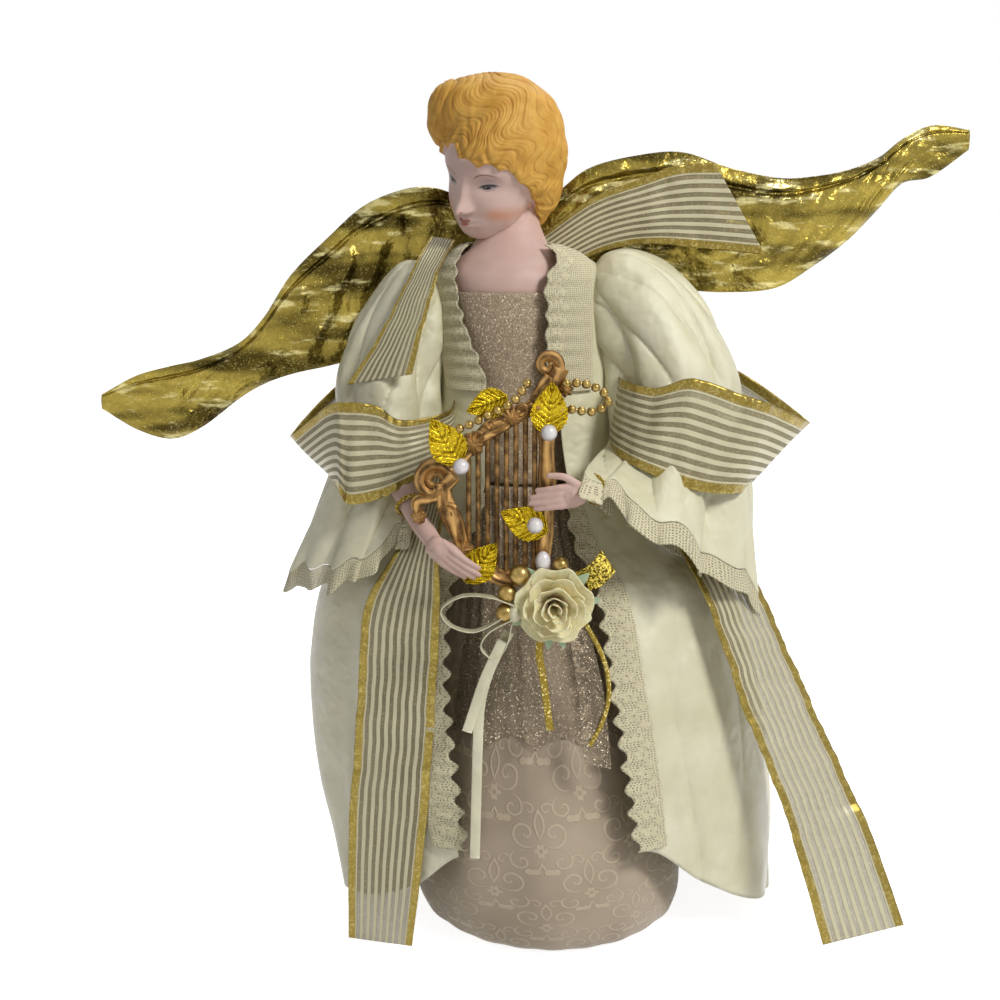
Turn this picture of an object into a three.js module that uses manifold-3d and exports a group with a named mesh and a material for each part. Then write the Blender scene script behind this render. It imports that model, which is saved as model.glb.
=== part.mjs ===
// Angel tree topper: a doll with a porcelain head and hands on a hollow cone, in a satin coat over a
// brocade skirt, with two padded wings on wires, a wired-ribbon bow round its sleeves, and a cast harp
// with a spray of leaves, pearls, berries and a rose held in its hands.
// Millimetres. +Z is up and the front faces -Y. Left and right are the viewer's.
// The origin is the centre of the cone's open mouth, on the surface that it stands on.
import * as THREE from 'three';
import { mergeVertices } from 'three/addons/utils/BufferGeometryUtils.js';
import Module from 'manifold-3d';

const wasm = await Module();
wasm.setup();

// Driving dimensions
const figureHeight = 385;
const leanShare = 0.07; // sideways shift of the body for each unit of height
const seamGap = 0.33; // left between pieces that touch
const weld = 0.001; // points closer than this are one
const trimTolerance = 0.06; // facets of a trimmed piece finer than this are merged
const satinThickness = 1.2;
const laceThickness = 0.9;
const ribbonThickness = 0.8;
const coneRadius = 50;
const coneTopRadius = 13;
const coneHeight = 165;
const coneWall = 1.6;
const skirtRadius = 63;
const waistHeight = 208;
const coatHalfWidth = 102;
const coatHalfDepth = 62;
const coatTopHeight = 313;
const bustHalfWidth = 27;
const bustHalfDepth = 18.8;
const porcelainWall = 3;
const headHalfWidth = 30;
const harpBarRadius = 3.5;
const harpPlaneShare = -0.16104; // the middle of the casting, forward of the cone's axis
const wingPad = 9; // thickness of a wing at its fullest
const wingSpan = 200;
const wingPlane = 30; // the wings' plane, behind the cone's axis
const harpPlane = harpPlaneShare * figureHeight;

// Each piece is made on the ones before it: it gives way to them by the seam gap wherever they meet.
const group = new THREE.Group();
const placed = [];

// A place as shares of the figure's height.
function at(xShare, yShare, zShare) {
  return new THREE.Vector3(xShare, yShare, zShare).multiplyScalar(figureHeight);
}

function lean(height) {
  return -leanShare * height;
}

function mix(from, to, share) {
  return from + (to - from) * share;
}

// A smooth curve through rows of [place, value, value ...], read at one place.
function blendRows(rows, place) {
  let next = rows.findIndex((row, index) => index > 0 && place <= row[0]);
  if (next < 0) next = rows.length - 1;
  const start = rows[next - 1];
  const end = rows[next];
  const before = rows[Math.max(next - 2, 0)];
  const after = rows[Math.min(next + 1, rows.length - 1)];
  const width = end[0] - start[0];
  const s = THREE.MathUtils.clamp((place - start[0]) / width, 0, 1);
  return start.slice(1).map((from, index) => {
    const to = end[index + 1];
    const leaving = ((to - before[index + 1]) / (end[0] - before[0])) * width;
    const arriving = ((after[index + 1] - from) / (after[0] - start[0])) * width;
    const cubic = 2 * (from - to) + leaving + arriving;
    const square = 3 * (to - from) - 2 * leaving - arriving;
    return ((cubic * s + square) * s + leaving) * s + from;
  });
}

function solidFrom(geometry) {
  const bare = new THREE.BufferGeometry().setAttribute('position', geometry.getAttribute('position'));
  if (geometry.index) bare.setIndex(geometry.index);
  const merged = mergeVertices(bare, weld);
  const triVerts = new Uint32Array(merged.index.array);
  const vertProperties = new Float32Array(merged.getAttribute('position').array);
  const solid = new wasm.Manifold(new wasm.Mesh({ numProp: 3, vertProperties, triVerts }));
  if (solid.volume() > 0) return solid;
  for (let i = 0; i < triVerts.length; i += 3) {
    [triVerts[i + 1], triVerts[i + 2]] = [triVerts[i + 2], triVerts[i + 1]];
  }
  return new wasm.Manifold(new wasm.Mesh({ numProp: 3, vertProperties, triVerts }));
}

function geometryFrom(solid) {
  const mesh = solid.getMesh();
  const position = new THREE.BufferAttribute(new Float32Array(mesh.vertProperties), 3);
  const geometry = new THREE.BufferGeometry().setAttribute('position', position);
  geometry.setIndex(new THREE.BufferAttribute(new Uint32Array(mesh.triVerts), 1));
  geometry.computeVertexNormals();
  return geometry;
}

function solidFromArrays(points, triangles) {
  const array = new Float32Array(points.length * 3);
  points.forEach((point, index) => point.toArray(array, index * 3));
  const geometry = new THREE.BufferGeometry();
  geometry.setAttribute('position', new THREE.BufferAttribute(array, 3));
  geometry.setIndex(triangles);
  return solidFrom(geometry);
}

// A padded sheet on both sides of the surface point(u, v), with half(u, v) on each side of it.
// Where grow isn't 0, its faces and its edges stand out by that much more.
function sheet(point, half, grow, columns, rows, ring = false) {
  const lines = ring ? columns : columns + 1;
  const grid = [];
  for (let i = 0; i < lines; i += 1) {
    grid.push([]);
    for (let j = 0; j <= rows; j += 1) grid[i].push(point(i / columns, j / rows));
  }
  grid.forEach((line) => {
    const [first, second] = line;
    const [last, beforeLast] = [line[rows], line[rows - 1]];
    const firstMove = first.clone().sub(second).setLength(grow);
    last.add(last.clone().sub(beforeLast).setLength(grow));
    first.add(firstMove);
  });
  if (!ring) {
    for (let j = 0; j <= rows; j += 1) {
      const firstMove = grid[0][j].clone().sub(grid[1][j]).setLength(grow);
      grid[columns][j].add(grid[columns][j].clone().sub(grid[columns - 1][j]).setLength(grow));
      grid[0][j].add(firstMove);
    }
  }
  const wrap = (i) => (ring ? (i + lines) % lines : THREE.MathUtils.clamp(i, 0, lines - 1));
  const points = [];
  const triangles = [];
  for (const side of [1, -1]) {
    for (let i = 0; i < lines; i += 1) {
      for (let j = 0; j <= rows; j += 1) {
        const alongU = grid[wrap(i + 1)][j].clone().sub(grid[wrap(i - 1)][j]);
        const alongV = grid[i][Math.min(j + 1, rows)].clone().sub(grid[i][Math.max(j - 1, 0)]);
        const normal = alongU.cross(alongV).normalize();
        points.push(grid[i][j].clone().addScaledVector(normal, side * (half(i / columns, j / rows) + grow)));
      }
    }
  }
  const back = lines * (rows + 1);
  const number = (i, j) => wrap(i) * (rows + 1) + j;
  const quad = (a, b, c, d) => triangles.push(a, b, c, a, c, d);
  const spans = ring ? lines : lines - 1;
  for (let i = 0; i < spans; i += 1) {
    for (let j = 0; j < rows; j += 1) {
      quad(number(i, j), number(i + 1, j), number(i + 1, j + 1), number(i, j + 1));
      quad(back + number(i, j), back + number(i, j + 1), back + number(i + 1, j + 1), back + number(i + 1, j));
    }
    quad(back + number(i, 0), back + number(i + 1, 0), number(i + 1, 0), number(i, 0));
    quad(number(i, rows), number(i + 1, rows), back + number(i + 1, rows), back + number(i, rows));
  }
  if (!ring) {
    for (let j = 0; j < rows; j += 1) {
      quad(number(0, j), number(0, j + 1), back + number(0, j + 1), back + number(0, j));
      quad(back + number(spans, j), back + number(spans, j + 1), number(spans, j + 1), number(spans, j));
    }
  }
  return solidFromArrays(points, triangles);
}

// A closed solid through rings of points, with a flat cap at each end.
function loft(rings) {
  const count = rings[0].length;
  const points = rings.flat();
  const triangles = [];
  for (let k = 0; k < rings.length - 1; k += 1) {
    for (let i = 0; i < count; i += 1) {
      const a = k * count + i;
      const b = k * count + ((i + 1) % count);
      triangles.push(a, b, b + count, a, b + count, a + count);
    }
  }
  for (const [first, turned] of [[0, true], [(rings.length - 1) * count, false]]) {
    const middle = points.length;
    const centre = new THREE.Vector3();
    for (let i = 0; i < count; i += 1) centre.addScaledVector(points[first + i], 1 / count);
    points.push(centre);
    for (let i = 0; i < count; i += 1) {
      const a = first + i;
      const b = first + ((i + 1) % count);
      if (turned) triangles.push(b, a, middle);
      else triangles.push(a, b, middle);
    }
  }
  return solidFromArrays(points, triangles);
}

// An upright oval: angle 0 is the front, and a quarter turn is the viewer's right.
function oval(centreX, centreY, height, halfWidth, halfDepth, angle) {
  const x = centreX + halfWidth * Math.sin(angle);
  const y = centreY - halfDepth * Math.cos(angle);
  return new THREE.Vector3(x, y, height);
}

// A round limb along a curve, swelling and tapering through the radii given.
function limb(places, radii, sides, steps, grow = 0) {
  const curve = new THREE.CatmullRomCurve3(places);
  const frames = curve.computeFrenetFrames(steps, false);
  const radiusRows = radii.map((radius, index) => [index / (radii.length - 1), radius]);
  const rings = [];
  for (let k = 0; k <= steps; k += 1) {
    const centre = curve.getPointAt(k / steps);
    const radius = blendRows(radiusRows, k / steps)[0] + grow;
    if (k === 0) centre.addScaledVector(frames.tangents[0], -grow);
    if (k === steps) centre.addScaledVector(frames.tangents[steps], grow);
    const ring = [];
    for (let i = 0; i < sides; i += 1) {
      const angle = (2 * Math.PI * i) / sides;
      const point = centre.clone().addScaledVector(frames.normals[k], radius * Math.cos(angle));
      ring.push(point.addScaledVector(frames.binormals[k], radius * Math.sin(angle)));
    }
    rings.push(ring);
  }
  return loft(rings);
}

// A round bar of even radius along a curve.
function tube(places, radius, sides, steps) {
  const outline = [];
  for (let i = 0; i < sides; i += 1) {
    const angle = (2 * Math.PI * i) / sides;
    outline.push(new THREE.Vector2(radius * Math.cos(angle), radius * Math.sin(angle)));
  }
  const extrudePath = new THREE.CatmullRomCurve3(places);
  return solidFrom(new THREE.ExtrudeGeometry(new THREE.Shape(outline), { steps, extrudePath }));
}

function ellipsoid(centre, half, columns, rows) {
  const geometry = new THREE.SphereGeometry(1, columns, rows);
  geometry.scale(half.x, half.y, half.z);
  geometry.translate(centre.x, centre.y, centre.z);
  return solidFrom(geometry);
}

function joined(solids) {
  return solids.reduce((whole, solid) => whole.add(solid));
}

// The largest body of a trimmed piece: a cut can leave crumbs where two cloths graze each other.
function mainBody(solid) {
  return solid.decompose().reduce((best, body) => (body.volume() > best.volume() ? body : best));
}

function boxesMeet(a, b) {
  return [0, 1, 2].every((axis) => a.min[axis] <= b.max[axis] && b.min[axis] <= a.max[axis]);
}

// Adds a named piece. make(grow) gives its solid with every outer face moved out by grow.
function addPiece(name, finish, make) {
  let solid = make(0);
  for (const other of placed) {
    if (!boxesMeet(solid.boundingBox(), other.box)) continue;
    if (solid.intersect(other.grown).volume() > 0) solid = solid.subtract(other.grown);
  }
  solid = mainBody(solidFrom(geometryFrom(mainBody(solid).simplify(trimTolerance))));
  const grown = make(seamGap);
  placed.push({ grown, box: grown.boundingBox() });
  const material = new THREE.MeshStandardMaterial(finish);
  const mesh = new THREE.Mesh(geometryFrom(solid), material);
  mesh.name = name;
  group.add(mesh);
}

// Finishes
const cardboard = { color: 0xb9a888, roughness: 0.9, metalness: 0 };
const muslin = { color: 0xd9cfb8, roughness: 0.95, metalness: 0 };
const bisque = { color: 0xd8bdb4, roughness: 0.55, metalness: 0 };
const lurex = { color: 0x9a8a7c, roughness: 0.6, metalness: 0.2 };
const brocade = { color: 0xa8957f, roughness: 0.7, metalness: 0 };
const sheerGauze = { color: 0xb8a890, roughness: 0.6, metalness: 0.1 };
const satin = { color: 0xdcd8b8, roughness: 0.4, metalness: 0 };
const lace = { color: 0xddd6bc, roughness: 0.85, metalness: 0 };
const lame = { color: 0xa8962f, roughness: 0.35, metalness: 0.8 };
const wiredRibbon = { color: 0xb5a88c, roughness: 0.5, metalness: 0.2 };
const bronze = { color: 0x9a7440, roughness: 0.45, metalness: 0.7 };
const foil = { color: 0xd8b818, roughness: 0.3, metalness: 0.9 };
const pearl = { color: 0xe8e4e0, roughness: 0.25, metalness: 0 };
const goldBead = { color: 0xb08a4a, roughness: 0.35, metalness: 0.8 };
const petal = { color: 0xe8e0c4, roughness: 0.8, metalness: 0 };
const goldBraid = { color: 0x9c8020, roughness: 0.5, metalness: 0.7 };
const wireSteel = { color: 0x8a8a88, roughness: 0.4, metalness: 0.9 };

// Base cone: a cardboard cup, open below for the tree's tip and closed above under the body
addPiece('base_cone', cardboard, (grow) => {
  const profile = [
    [0, coneHeight + grow],
    [coneTopRadius + grow, coneHeight + grow],
    [coneRadius + grow, 0],
    [coneRadius - coneWall, 0],
    [coneTopRadius - coneWall, coneHeight - coneWall],
    [0, coneHeight - coneWall],
  ];
  const coneSegments = 32;
  const outline = profile.map(([radius, height]) => new THREE.Vector2(radius, height));
  const geometry = new THREE.LatheGeometry(outline, coneSegments);
  geometry.rotateX(Math.PI / 2);
  const shear = new THREE.Matrix4().makeShear(0, 0, 0, 0, -leanShare, 0);
  geometry.applyMatrix4(shear);
  return solidFrom(geometry);
});

// Head and shoulder plate: one hollow porcelain casting with moulded hair, glued over the body
const headTurn = THREE.MathUtils.degToRad(-41);
const headNod = THREE.MathUtils.degToRad(14);
const headTilt = THREE.MathUtils.degToRad(10);
const headPlace = at(-0.0608, 0.0078, 0.9109);
const headMiddleShares = [0, 0.067, -0.133];
// Each lobe of the skull: its centre and half sizes, as shares of the head's half width
const faceLobeShares = [
  { centre: [0, 0.02, 0.067], half: [0.8, 0.88, 0.9] },
  { centre: [0, -0.22, -0.44], half: [0.56, 0.6, 0.62] },
  { centre: [0, -0.62, -0.84], half: [0.29, 0.25, 0.25] },
  { centre: [0.28, -0.44, -0.46], half: [0.28, 0.34, 0.34] },
  { centre: [-0.28, -0.44, -0.46], half: [0.28, 0.34, 0.34] },
];
const hairLobeShares = [
  { centre: [0, 0.08, 0.12], half: [0.87, 0.92, 1.03] },
  { centre: [0, 0.28, -0.35], half: [0.74, 0.6, 0.82] },
  { centre: [-0.62, -0.38, 0.54], half: [0.3, 0.36, 0.43] },
];
// Each swelling or hollow of the face: sideways place, height, spreads and how far it stands out
const featureShares = [
  [0, -0.5, 0.1, 0.1, 0.2],
  [0, -0.31, 0.085, 0.2, 0.09],
  [0, -0.75, 0.17, 0.07, 0.045],
  [0.33, -0.2, 0.15, 0.1, -0.06],
  [-0.33, -0.2, 0.15, 0.1, -0.06],
];
// The hairline's elevation, in degrees, round the head from its left to its right
const hairlineDegrees = [
  [-180, -70], [-140, -70], [-115, -60], [-90, -42], [-75, -15], [-62, 8], [-50, 14], [-38, 16], [-24, 24], [-10, 25], [0, 18],
  [18, 14], [36, 12], [55, -2], [72, -24], [90, -46], [115, -66], [140, -72], [180, -70],
];
const hairlineBlendDegrees = 5; // degrees over which the hair rises from the face

function reach(direction, lobe) {
  let a = 0;
  let b = 0;
  let c = -1;
  direction.toArray().forEach((value, axis) => {
    const offset = lobe.centre[axis] - headMiddleShares[axis];
    a += (value * value) / lobe.half[axis] ** 2;
    b += (value * offset) / lobe.half[axis] ** 2;
    c += offset ** 2 / lobe.half[axis] ** 2;
  });
  const inside = b * b - a * c;
  return inside > 0 ? Math.max((b + Math.sqrt(inside)) / a, 0) : 0;
}

function softest(direction, lobes) {
  const power = 18;
  return lobes.reduce((sum, lobe) => sum + reach(direction, lobe) ** power, 0) ** (1 / power);
}

function headReach(direction) {
  const face = softest(direction, faceLobeShares);
  const around = THREE.MathUtils.radToDeg(Math.atan2(direction.x, -direction.y));
  const elevation = THREE.MathUtils.radToDeg(Math.asin(direction.z));
  let share = face;
  const sideways = share * direction.x + headMiddleShares[0];
  const height = share * direction.z + headMiddleShares[2];
  if (direction.y < 0) {
    for (const [place, level, spread, rise, out] of featureShares) {
      share += out * Math.exp(-(((sideways - place) / spread) ** 2) - ((height - level) / rise) ** 2);
    }
  }
  const line = blendRows(hairlineDegrees, around)[0];
  const [low, high] = [line - hairlineBlendDegrees, line + hairlineBlendDegrees];
  const cover = THREE.MathUtils.smoothstep(elevation, low, high);
  const waves = 1 + 0.02 * Math.sin(9 * direction.z + 5 * direction.x) * Math.cos(6 * direction.y);
  return mix(share, Math.max(softest(direction, hairLobeShares) * waves, share), cover);
}

const headColumns = 26;
const headRows = 16;
const headOrder = new THREE.Euler(headNod, headTilt, headTurn, 'ZXY');

function headSolid(grow) {
  const rings = [];
  const middle = new THREE.Vector3(...headMiddleShares).multiplyScalar(headHalfWidth);
  for (let k = 1; k < headRows; k += 1) {
    const polar = Math.PI * (k / headRows);
    const ring = [];
    for (let i = 0; i < headColumns; i += 1) {
      const around = (2 * Math.PI * i) / headColumns;
      const flat = Math.sin(polar);
      const [across, ahead] = [flat * Math.sin(around), -flat * Math.cos(around)];
      const direction = new THREE.Vector3(across, ahead, Math.cos(polar));
      const radius = headReach(direction) * headHalfWidth + grow;
      ring.push(direction.multiplyScalar(radius).add(middle).applyEuler(headOrder).add(headPlace));
    }
    rings.push(ring);
  }
  return loft(rings);
}

// Rings of the neck and plate: height, half width, half depth, then sideways and backward offsets
const plateLevelShares = [
  [0.705, 0.9, 0.83, 0, 0],
  [0.73, 0.98, 0.96, 0, 0],
  [0.758, 1, 1, 0, 0],
  [0.779, 0.96, 0.96, 0, 0],
  [0.795, 0.83, 0.81, 0.03, 0.04],
  [0.808, 0.66, 0.66, 0.08, 0.12],
  [0.821, 0.55, 0.58, 0.115, 0.22],
  [0.836, 0.47, 0.54, 0.13, 0.32],
  [0.868, 0.44, 0.53, 0.12, 0.34],
];

const plateSides = 16;

// The rings above, grown or, where grow is negative, drawn in for the hollow, which opens below.
function plateSolid(grow) {
  const rings = plateLevelShares.map(([level, width, depth, shift, back], index) => {
    const height = level * figureHeight - (index === 0 ? Math.abs(grow) : 0);
    const centre = lean(height) + shift * bustHalfWidth;
    const ring = [];
    for (let i = 0; i < plateSides; i += 1) {
      const angle = (2 * Math.PI * i) / plateSides;
      const [halfWidth, halfDepth] = [width * bustHalfWidth + grow, depth * bustHalfDepth + grow];
      ring.push(oval(centre, back * bustHalfDepth, height, halfWidth, halfDepth, angle));
    }
    return ring;
  });
  return loft(rings);
}

addPiece('head_bust', bisque, (grow) => {
  const outside = headSolid(grow).add(plateSolid(grow));
  if (grow > 0) return outside;
  const hollowHalf = new THREE.Vector3(0.62, 0.66, 0.72).multiplyScalar(headHalfWidth);
  const hollow = ellipsoid(headPlace, hollowHalf, 10, 6);
  return outside.subtract(hollow.add(plateSolid(-porcelainWall)));
});

// Stuffed body: muslin over a core, standing on the cone and carrying the shoulder plate
const coreSides = 16;
const coreTopShare = 0.72;
// Height from the cone's top to the plate as a share, half width and half depth
const coreLevelShares = [
  [0, 0.467, 0.67],
  [0.12, 0.593, 0.77],
  [0.37, 0.796, 0.878],
  [0.65, 0.815, 0.894],
  [1, 0.867, 0.894],
];

function coreSolid(grow) {
  const rings = [];
  const steps = 6;
  const bottom = coneHeight + seamGap;
  const top = coreTopShare * figureHeight;
  for (let k = 0; k <= steps; k += 1) {
    const [width, depth] = blendRows(coreLevelShares, k / steps);
    const height = mix(bottom, top, k / steps);
    const ring = [];
    for (let i = 0; i < coreSides; i += 1) {
      const angle = (2 * Math.PI * i) / coreSides;
      const [halfWidth, halfDepth] = [width * bustHalfWidth + grow, depth * bustHalfDepth + grow];
      ring.push(oval(lean(height), 0, height, halfWidth, halfDepth, angle));
    }
    rings.push(ring);
  }
  return loft(rings);
}
addPiece('torso_core', muslin, coreSolid);

// Harp: one bronze-coloured casting of a neck, pillar, volute and foot, with thick strings between
function harpAt(x, z) {
  return at(x, 0, z).setY(harpPlane);
}
const harpBarSides = 6;
const scrollSides = 5;
const scrollWireShare = 0.62;

// A flat spiral from its outer turn in to its middle, on the harp's plane.
function scroll(centre, outerRadius, turns, startTurn, direction, barRadius) {
  const places = [];
  const pointsPerTurn = 10;
  const count = Math.round(turns * pointsPerTurn);
  const innerShare = 0.22;
  for (let k = 0; k <= count; k += 1) {
    const angle = 2 * Math.PI * (startTurn + (direction * k) / pointsPerTurn);
    const radius = outerRadius * mix(1, innerShare, k / count);
    const offset = new THREE.Vector3(Math.cos(angle), 0, Math.sin(angle)).multiplyScalar(radius);
    places.push(centre.clone().add(offset));
  }
  return tube(places, barRadius, scrollSides, count);
}

function boss(centre, radius) {
  const flatShare = 0.75;
  return ellipsoid(centre, new THREE.Vector3(radius, radius * flatShare, radius), 6, 4);
}

const harpNeck = [
  harpAt(-0.0068, 0.6805), harpAt(-0.0247, 0.6506), harpAt(-0.0496, 0.6377),
  harpAt(-0.073, 0.6234), harpAt(-0.0945, 0.6039),
  harpAt(-0.1156, 0.5818),
];
const harpFoot = [harpAt(-0.1034, 0.4935), harpAt(-0.0842, 0.4727), harpAt(-0.0569, 0.4597),
  harpAt(-0.0156, 0.4636)];
const harpPillar = [
  harpAt(0.0013, 0.6909), harpAt(-0.0068, 0.6675), harpAt(-0.0119, 0.6234),
  harpAt(-0.0114, 0.5481), harpAt(-0.0156, 0.4636),
  harpAt(-0.0065, 0.439),
];
const harpLimb = [harpAt(-0.1247, 0.5662), harpAt(-0.1208, 0.5429), harpAt(-0.1104, 0.5169),
  harpAt(-0.1034, 0.4935)];
const harpHook = [harpAt(-0.1117, 0.574), harpAt(-0.1325, 0.5519), harpAt(-0.1519, 0.5455),
  harpAt(-0.1506, 0.5286)];
const harpBosses = [
  [harpAt(-0.0506, 0.639), 1.25], [harpAt(-0.0909, 0.6091), 1.35], [harpAt(-0.1034, 0.4935), 1.35],
  [harpAt(0.0068, 0.6681), 0.95], [harpAt(-0.1501, 0.5294), 0.9], [harpAt(-0.0221, 0.6494), 1.15],
];
const stringCount = 8;
const stringWidth = 1.7;
const stringDepth = 2.2;
const stringFirst = harpAt(-0.0961, 0).x;
const stringLast = harpAt(-0.0249, 0).x;

function heightOn(curvePlaces, x) {
  const rows = curvePlaces.map((place) => [place.x, place.z]).sort((a, b) => a[0] - b[0]);
  return blendRows(rows, x)[0];
}

function harpSolid(grow) {
  const bar = harpBarRadius + grow;
  const thin = harpBarRadius * scrollWireShare + grow;
  const solids = [
    tube(harpNeck, bar, harpBarSides, 12),
    tube(harpFoot, bar, harpBarSides, 8),
    tube(harpPillar, bar, harpBarSides, 8),
    tube(harpLimb, harpBarRadius * 0.85 + grow, harpBarSides, 5),
    tube(harpHook, thin, scrollSides, 8),
    scroll(harpAt(-0.0114, 0.6935), harpBarRadius * 1.35, 1.1, -0.05, 1, thin),
    scroll(harpAt(-0.1325, 0.5675), harpBarRadius * 2.3, 1.5, 0.08, 1, thin),
    ...harpBosses.map(([place, share]) => boss(place, harpBarRadius * share + grow)),
  ];
  for (let k = 0; k < stringCount; k += 1) {
    const x = mix(stringFirst, stringLast, k / (stringCount - 1));
    const low = heightOn(harpFoot, x);
    const high = heightOn(harpNeck, x);
    const box = new THREE.BoxGeometry(stringWidth + 2 * grow, stringDepth + 2 * grow, high - low);
    box.translate(x, harpPlane, (low + high) / 2);
    solids.push(solidFrom(box));
  }
  return joined(solids);
}
addPiece('harp', bronze, harpSolid);

// Forearms and hands: solid porcelain, tied to the harp at the wrists
const fingerRadius = 1.45;
const fingerLength = 20;
const palmHalf = { long: 6.6, wide: 5, thick: 2.6 };
const forearmRadius = 6.8;
const forearmRadii = [1, 0.94, 0.706, 0.618, 0.368].map((share) => share * forearmRadius);

function handSolid(arm, grow) {
  const forearm = limb(arm.forearm, arm.radii, 8, 5, grow);
  const palm = new THREE.SphereGeometry(1, 7, 5);
  palm.scale(palmHalf.long + grow, palmHalf.wide + grow, palmHalf.thick + grow);
  const along = arm.reach.clone().normalize();
  const out = arm.out.clone().addScaledVector(along, -arm.out.dot(along)).normalize();
  const wide = out.clone().cross(along);
  palm.applyMatrix4(new THREE.Matrix4().makeBasis(along, wide, out).setPosition(arm.palm));
  const fingers = [-1.5, -0.5, 0.5, 1.5].map((slot, index) => {
    const base = arm.palm.clone().addScaledVector(wide, slot * fingerRadius * 1.75);
    const length = arm.fingerLength * [0.8, 0.95, 1, 0.9][index];
    const knuckle = base.clone().addScaledVector(along, length * 0.55);
    knuckle.addScaledVector(out, fingerRadius * 0.3);
    const tip = base.clone().addScaledVector(along, length).addScaledVector(out, -fingerRadius * 0.5);
    return limb([base, knuckle, tip], [fingerRadius * 1.1, fingerRadius, fingerRadius * 0.7], 5, 2, grow);
  });
  const thumb = limb(arm.thumb, [fingerRadius * 1.3, fingerRadius * 1.1, fingerRadius * 0.8], 5, 2, grow);
  return joined([forearm, solidFrom(palm), ...fingers, thumb]);
}

const armLeft = {
  forearm: [at(-0.1987, -0.0558, 0.5948), at(-0.1766, -0.0987, 0.5584),
    at(-0.1558, -0.1351, 0.526), at(-0.1403, -0.1636, 0.5091), at(-0.1286, -0.1805, 0.4974)],
  radii: forearmRadii,
  palm: at(-0.1286, -0.1805, 0.4974),
  reach: new THREE.Vector3(0.78, -0.1, -0.6),
  out: new THREE.Vector3(-0.1, -1, -0.3),
  fingerLength,
  thumb: [at(-0.1325, -0.1792, 0.5065), at(-0.1143, -0.1844, 0.5), at(-0.1, -0.1857, 0.487)],
};
const armRight = {
  forearm: [at(0.1377, -0.0623, 0.6), at(0.1013, -0.1039, 0.5792), at(0.0662, -0.1325, 0.5636),
    at(0.0338, -0.1662, 0.5597), at(0.0169, -0.1805, 0.5571)],
  radii: forearmRadii,
  palm: at(0.0169, -0.1805, 0.5571),
  reach: new THREE.Vector3(-1, -0.02, -0.16),
  out: new THREE.Vector3(0, -1, 0),
  fingerLength: 0.925 * fingerLength,
  thumb: [at(0.0221, -0.1805, 0.5662), at(0.0065, -0.1844, 0.5766), at(-0.0104, -0.1831, 0.5779)],
};
addPiece('forearm_left', bisque, (grow) => handSolid(armLeft, grow));
addPiece('forearm_right', bisque, (grow) => handSolid(armRight, grow));

// Bracelets: gold braid that ties each wrist to the harp
const braceletRadius = 0.8;

function braceletSolid(arm, grow) {
  const wrist = new THREE.CatmullRomCurve3(arm.forearm);
  const share = 0.66;
  const along = wrist.getTangentAt(share);
  const side = new THREE.Vector3(0, 0, 1).cross(along).normalize();
  const radius = arm.radii[2] + seamGap + braceletRadius;
  const ring = new THREE.TorusGeometry(radius, braceletRadius + grow, 5, 14);
  const turn = new THREE.Matrix4().makeBasis(side, along.clone().cross(side), along);
  ring.applyMatrix4(turn.setPosition(wrist.getPointAt(share)));
  return solidFrom(ring);
}
addPiece('bracelet_left', goldBraid, (grow) => braceletSolid(armLeft, grow));
addPiece('bracelet_right', goldBraid, (grow) => braceletSolid(armRight, grow));

// Upper arms: padded wire from the shoulders, inside the sleeves
const upperArmRadius = 7.5;
const upperArmLeft = [at(-0.1039, 0.0052, 0.7714), at(-0.161, 0, 0.7247),
  at(-0.187, -0.0208, 0.6545), at(-0.1974, -0.0519, 0.5974)];
const upperArmRight = [at(0.0052, 0.0052, 0.774), at(0.0883, 0, 0.7299),
  at(0.1351, -0.0208, 0.6649), at(0.1403, -0.0571, 0.6026)];
const upperArmRadii = [upperArmRadius, upperArmRadius, upperArmRadius, upperArmRadius];
addPiece('upper_arm_left', muslin, (grow) => limb(upperArmLeft, upperArmRadii, 8, 5, grow));
addPiece('upper_arm_right', muslin, (grow) => limb(upperArmRight, upperArmRadii, 8, 5, grow));

// Bodice: glitter cloth wrapped round the body, with a straight neckline over the porcelain chest
const necklineShare = 0.761;
// Share of the way up the bodice, half width and half depth
const bodiceLevelShares = [
  [0, 0.9, 0.98],
  [0.3, 0.93, 0.985],
  [0.6, 0.99, 1.01],
  [0.85, 1.04, 1.06],
  [1, 1.055, 1.08],
];
const bodiceThickness = 1;
addPiece('bodice', lurex, (grow) => sheet((u, v) => {
  const height = mix(waistHeight, necklineShare * figureHeight, v);
  const [width, depth] = blendRows(bodiceLevelShares, v);
  return oval(lean(height), 0, height, width * bustHalfWidth, depth * bustHalfDepth, 2 * Math.PI * u);
}, () => bodiceThickness / 2, grow, 20, 4, true));

// Brocade skirt: a rounded bell gathered under to the cone's foot and drawn in at the waist
// Share along the cloth, height as a share of the waist's, width and depth as shares of the skirt's radius
const skirtLevelShares = [
  [0, 0.0095, 0.808, 0.808],
  [0.05, 0.016, 0.88, 0.88],
  [0.11, 0.038, 0.955, 0.955],
  [0.2, 0.09, 1, 1],
  [0.34, 0.185, 0.99, 0.99],
  [0.5, 0.34, 0.9, 0.9],
  [0.65, 0.51, 0.76, 0.76],
  [0.8, 0.7, 0.6, 0.59],
  [0.92, 0.89, 0.475, 0.43],
  [1, 1, 0.44, 0.365],
];
const skirtFolds = 11;
const skirtFoldDepth = 0.8;

function skirtPoint(angle, share, outward) {
  const [level, width, depth] = blendRows(skirtLevelShares, share);
  const height = level * waistHeight;
  const fold = skirtFoldDepth * Math.cos(skirtFolds * angle) * Math.sin(Math.PI * share);
  const [halfWidth, halfDepth] = [width, depth].map((size) => size * skirtRadius + fold + outward);
  return oval(lean(height), 0, height, halfWidth, halfDepth, angle);
}
addPiece('skirt', brocade, (grow) => sheet(
  (u, v) => skirtPoint(2 * Math.PI * u, v, 0), () => satinThickness / 2, grow, 33, 7, true));

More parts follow.
